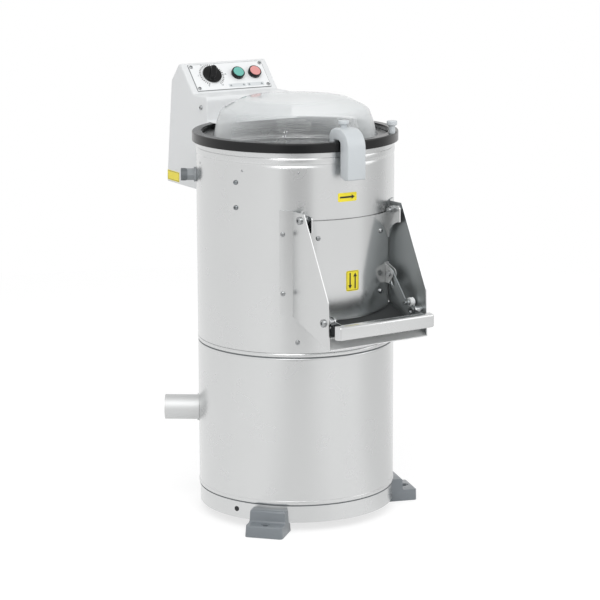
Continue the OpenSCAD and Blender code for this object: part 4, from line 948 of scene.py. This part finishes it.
class PEELER_OT_control_box(PeelerOperator, Operator):
    """The folded box, hollow as the real one, with soft folds"""
    bl_idname = "peeler.control_box"
    bl_label = "Control box"

    def build(self, scene):
        neck, ring_top, front, sheet, inner_half = 188.5, 784.6, 150, 1.6, 99.3
        cover_half, cover_low, cover_high = 81, 28, 192.5
        outline = filleted([
            ((front, BACK_LOW.y), 0), (BACK_LOW, 4), (BACK_HIGH, 8), ((310.43, 897.57), 12),
            (SLOPE_FOOT, 4), ((neck, SLOPE_FOOT.y), 10), ((neck, ring_top), 0),
            ((front, ring_top), 0)], 6)

        def solid(points, half):
            return prism([(-y, z) for y, z in points], -half, half)

        box = new_piece("folded_box", picked(solid(outline, BOX_X), at_sides(BOX_X)))
        rounded(box, scene.peeler_sizes.box_round, 4, True)
        box.data.transform(TOP)
        # Room for the drum, its bead and the rim ring
        cut(box, cylinder(200.3, 600, 766), cylinder(201.3, 734.5, 760.5), cylinder(208.3, 764, 784.3))
        inside = inset([Vector(p) for p in outline], sheet)
        inside[0].x = inside[-1].x = front - 50
        opening = [BACK_LOW + s * BACK_UP + n * BACK_OUT
                   for s, n in ((cover_low, -4), (cover_low, 2), (cover_high, 2), (cover_high, -4))]
        cutters = [new_piece("cutter", solid(inside, inner_half)),
                   new_piece("cutter", solid(opening, cover_half))]
        for cutter in cutters:
            cutter.data.transform(TOP)
        gland = TOP @ Matrix.Translation((0.06, 0.33, 0))
        holes = [(panel_place(*TIMER_AT), 5.3, 48), (panel_place(*START_AT), 11.3, 48),
                 (panel_place(*STOP_AT), 11.3, 48),
                 *((panel_place(*at), 2.05, 24) for at in PANEL_SCREWS),
                 *((place, 2.05, 24) for place in cover_places(0)),
                 *((place, 2.65, 24) for place in box_sides())]
        cutters += [cylinder(r, -8, 8, place, sides) for place, r, sides in holes]
        cut(box, *cutters, cylinder(10.3, 630, 642, gland, 48))
        finish_piece(box, "box_grey", "frame", ["control_box"], 30)


class PEELER_OT_controls(PeelerOperator, Operator):
    """The timer knob, its dial, the push buttons and the label strips"""
    bl_idname = "peeler.controls"
    bl_label = "Knob, buttons and dial"

    def build(self, scene):
        sizes = scene.peeler_sizes
        flange_r, shaft_r, soft = 20.8, 3.2, 0.0013
        knob = cylinder(flange_r, 2.0, 7.2)
        knob.name = "moulded_timer_knob"
        grip = new_piece("grip", prism(box_outline(36, 14.5, 6.5, 6), 5, 16.5, UPRIGHT))
        # The grip narrows upwards
        for v in grip.data.vertices:
            v.co.y, v.co.x = v.co.y * (1.04 - 8 * v.co.z), v.co.x * (1.08 - 16 * v.co.z)
        cut(knob, grip, how="UNION")
        cut(knob, cylinder(shaft_r, 1, 14, sides=32))
        rounded(knob, soft)
        knob.data.transform(panel_place(*TIMER_AT) @ Matrix.Rotation(-sizes.knob_turn, 4, "Z"))
        finish_piece(knob, "switch_dark", "timer_knob", ["timer_knob"])
        for node, name, finish, body in (
                ("start_button", "moulded_start_button", "button_green", "start_button"),
                ("stop_button", "moulded_stop_button", "button_red", "stop_button"),
                ("button_bezels", "moulded_bezels", "switch_dark", "frame")):
            finish_piece(rounded(cad_copy(node, name), sizes.knob_round), finish, body, [node])
        print_dial(sizes)
        # A thin grey frame round the panel plate: painted shade along its edge
        print_sheet("panel_gasket", "painted_shade_grey", panel_place(0, 38.75), 0.02, 0.8,
                    frames=[(box_outline(175, 69.5, 1), box_outline(168, 62.5, 1))])
        ends = [[p + Vector((x, 0)) for p in box_outline(4.4, 4.4, 2.0)] for x in (-15, 15)]
        for name, x in (("start_strip", 9.0), ("stop_strip", 52.0)):
            place = panel_place(x, 64.5, PLATE_T)
            print_sheet(name + "_field", "pale_ink", place, 0.02, 0.06, [box_outline(41, 9.5, 1.5)])
            print_sheet(name + "_marks", "grey_ink", place, 0.08, 0.05, ends)


class PEELER_OT_fastenings(PeelerOperator, Operator):
    """Every visible screw, as socket screws on their own places"""
    bl_idname = "peeler.fastenings"
    bl_label = "Screws and bolts"

    def build(self, scene):
        drum = [out_place(a, DRUM_R + 0.1, z)
                for a, z in ((-69.7, 702), (-69.7, 652), (-33, 388.6), (-15.6, 444))]
        screws("drum_dark_screws", M5_SCREW, 1.5, drum[:2], "drum_screws", finish="dark_screws")
        screws("drum_socket_screws", M5_SCREW, 1.5, drum[2:], "drum_screws")
        cheeks = [out_place(a, 202.4, z) for a in (-41.1, 41.1) for z in (487, 605)]
        screws("cheek_socket_screws", M5_SCREW, 3.5, cheeks, "cheek_bolts", 5)
        door = [out_place(a, DOOR_R + 0.1, z) for a in (-21.5, 21.5) for z in (475, 597)]
        screws("door_socket_screws", M5_SCREW, 3.6, door, "door_bolts", 7, "door")
        for node, at, name in (("hinge_bolts", HINGE, "hinge"), ("pivot_bolts", PIVOT, "pivot")):
            places = [moved(side * CHEEK_X, -at[0], at[1])
                      @ Matrix.Rotation(side * pi / 2, 4, "Y") for side in (-1, 1)]
            screws(f"{name}_socket_bolts", M10_SCREW, 25, places, node, 11)
            rest = cad_copy(node, f"{name}_washers_and_nuts",
                            keep=lambda part: max(abs(p.x) for p in part) < CHEEK_X - 1)
            finish_piece(rest, "steel_trim", "frame", [node], 30)
        panel = [panel_place(*at, PLATE_T) for at in PANEL_SCREWS]
        screws("panel_socket_screws", SMALL_SCREW, 7, panel, "box_screws", 13)
        screws("box_side_socket_screws", M5_SCREW, 8, box_sides(), "box_screws", 17)
        screws("cover_socket_screws", SMALL_SCREW, 7, cover_places(0.9), "box_screws", 19)


class PEELER_OT_labels(PeelerOperator, Operator):
    """Plain yellow arrow labels on the drum, the door and the box"""
    bl_idname = "peeler.labels"
    bl_label = "Labels"

    def build(self, scene):
        thick, lift, ink = scene.peeler_sizes.label_t / MM, 0.05, 0.12
        place = out_place(-3.3, DRUM_R, 674)
        print_sheet("turning_label", "label", place, lift, thick,
                    [box_outline(43, 17.5, 2.6)], bend_r=DRUM_R)
        print_sheet("turning_arrow", "ink", place, thick, ink,
                    [arrow_outline(34, 8, 3.6)], bend_r=DRUM_R)
        place = out_place(-0.8, DOOR_R, 507)
        print_sheet("tray_label", "label", place, lift, thick, [box_outline(30, 41, 3.4)],
                    bend_r=DOOR_R, body="door")
        arrows = [arrow_outline(32, 8, 3.0, turn, (x, 0)) for turn, x in ((-90, -6), (90, 6))]
        print_sheet("tray_arrows", "ink", place, thick, ink, arrows,
                    [(box_outline(27.6, 38.6, 2.6), box_outline(26.2, 37.2, 2.0))], DOOR_R, "door")
        place = (TOP @ moved(-BOX_X, 345, 651)
                 @ Matrix(((0, 0, -1, 0), (-1, 0, 0, 0), (0, 1, 0, 0), (0, 0, 0, 1))))
        print_sheet("box_label", "label", place, lift, thick, [box_outline(54, 21, 1)])
        print_sheet("box_label_frame", "ink", place, thick, ink,
                    frames=[(box_outline(51, 18, 0.6), box_outline(49.6, 16.6, 0.4))])


class PEELER_OT_sheet_details(PeelerOperator, Operator):
    """Lines of painted shade in the seams and under the base bead, a black disc of painted shade in the
    base hole, flush rivets and the ribs of the union cap
    """
    bl_idname = "peeler.sheet_details"
    bl_label = "Sheet details"

    def build(self, scene):
        # Grey rings in the seam's groove and under the base bead: painted shade lines
        for name, low, high, inner, outer in (
                ("seam_sealant", 365.0, 366.9, 198.0, 199.0),
                ("seam_shadow_gap", 355.4, 358.2, 198.2, 199.4),
                ("base_gasket", 53.2, 56.2, 198.0, 199.8)):
            points = ((outer, high), (inner, high), (inner, low), (outer, low), (outer, high))
            finish_piece(turned(name, points, 128, "painted_shade_grey"), "painted_shade_grey", "frame")
        # A black disc that fills the base ring's hole: painted shade for the dark hole
        points = [(0.0, 0.0), (5.2, 0.0), (5.2, 0.8), (4.4, 1.3), (0.0, 1.1)]
        grommet = turned("base_grommet", points, 32, "rubber_black")
        grommet.data.transform(out_place(-71.2, 198.4, 37))
        finish_piece(grommet, "rubber_black", "frame")
        points = [(0.0, -0.5), (2.6, -0.5), (2.6, 0.1), (2.1, 0.5), (1.1, 0.8), (0.0, 0.9)]
        places = [out_place(az, r, 726) for az, r in ((-32.2, 199.5), (-65.3, 199.9), (-105.7, 199.9))]
        rivet = turned("rivet", points, 24, "steel_trim")
        rivets = scattered("flush_rivets", rivet, places, "steel_trim", 0.0, 1)
        finish_piece(rivets, "steel_trim", "frame")
        ribs = grown("Bars on an arc", "union_ribs", bpy.data.meshes.new("ribs"), "plastic_grey",
                     count=scene.peeler_sizes.ribs + 1, radius=12 * MM, sweep=tau,
                     bar_length=1.2 * MM, bar_width=1.6 * MM, bar_height=9 * MM)
        ribs.data.transform(out_place(-121, 218.3 + 7.5, 695))
        finish_piece(ribs, "plastic_grey", "frame")


class PEELER_OT_handle(PeelerOperator, Operator):
    """The tray's handle bar with soft ends"""
    bl_idname = "peeler.handle"
    bl_label = "Tray handle"

    def build(self, scene):
        half, back, front, low, high = 113.0, 302.0, 319.98, 419.0, 446.0
        corner = scene.peeler_sizes.bar_round / MM

        def end_edge(edge):
            return at_sides(half)(edge) and all(v.co.y < -(back + 2.0) * MM for v in edge.verts)

        outline = filleted([((back, low), 1.2), ((front, low), corner), ((front, high), corner),
                            ((back, high), 1.2)], 6)
        bar = rounded(new_piece("folded_handle", picked(prism(outline, -half, half), end_edge)),
                      0.0038, 4, True)
        hollow = filleted([((back - 3, low + 2), 0), ((front - 2.2, low + 2), 3),
                           ((front - 2.2, high - 2), 3), ((back - 3, high - 2), 0)], 4)
        cut(bar, new_piece("cutter", prism(hollow, -half + 4, half - 4)))
        finish_piece(bar, "stainless", "tray", ["tray_handle"], 30)


class PEELER_OT_studio(PeelerOperator, Operator):
    """The pale floor, the soft lights, the white room and the camera"""
    bl_idname = "peeler.studio"
    bl_label = "Studio"

    def build(self, scene):
        studio = scene.peeler_studio
        lay_floor(studio)
        light_room(scene, studio)
        for name, watts, size, at in (
                ("key_softbox", studio.key, 4.0, (-2.0, -2.8, 3.6)),
                ("fill_softbox", studio.fill, 3.2, (3.2, -2.4, 2.4)),
                ("window", studio.window, 0.35, (-2.2, -1.9, 2.1))):
            lamp = bpy.data.lights.new(name, "AREA")
            lamp.energy, lamp.size, lamp.shape = watts, size, "DISK"
            light = linked(name, lamp)
            light.location = at
            light.rotation_mode = "QUATERNION"
            light.rotation_quaternion = (Vector((0, 0, 0.45)) - light.location).to_track_quat("-Z", "Y")
        aim_camera(scene, studio)
        scene.view_settings.view_transform = "Standard"


STEPS = (
    PEELER_OT_finishes, PEELER_OT_studio, PEELER_OT_feet, PEELER_OT_dome, PEELER_OT_lid_arm,
    PEELER_OT_control_box, PEELER_OT_controls, PEELER_OT_fastenings, PEELER_OT_labels,
    PEELER_OT_sheet_details, PEELER_OT_handle,
)
GROUPS = (("peeler_finishes", PeelerFinishes), ("peeler_sizes", PeelerSizes),
          ("peeler_studio", PeelerStudio))


class PEELER_PT_panel(bpy.types.Panel):
    """Lists the machine's pieces and their settings"""
    bl_idname = "PEELER_PT_panel"
    bl_label = "Garlic peeling machine"
    bl_space_type = "VIEW_3D"
    bl_region_type = "UI"
    bl_category = "Peeler"

    def draw(self, context):
        for step in STEPS:
            self.layout.operator(step.bl_idname)
        for name, group in GROUPS:
            for key in group.__annotations__:
                self.layout.prop(getattr(context.scene, name), key)


def register():
    for name, group in GROUPS:
        bpy.utils.register_class(group)
        setattr(bpy.types.Scene, name, PointerProperty(type=group))
    for made in (*STEPS, PEELER_PT_panel):
        bpy.utils.register_class(made)


def unregister():
    for made in reversed((*STEPS, PEELER_PT_panel)):
        bpy.utils.unregister_class(made)
    for name, group in reversed(GROUPS):
        delattr(bpy.types.Scene, name)
        bpy.utils.unregister_class(group)


def main():
    register()
    for step in STEPS:
        group, name = step.bl_idname.split(".")
        if getattr(getattr(bpy.ops, group), name)() != {"FINISHED"}:
            raise RuntimeError(f"{step.bl_label} didn't finish")


if __name__ == "__main__":
    main()
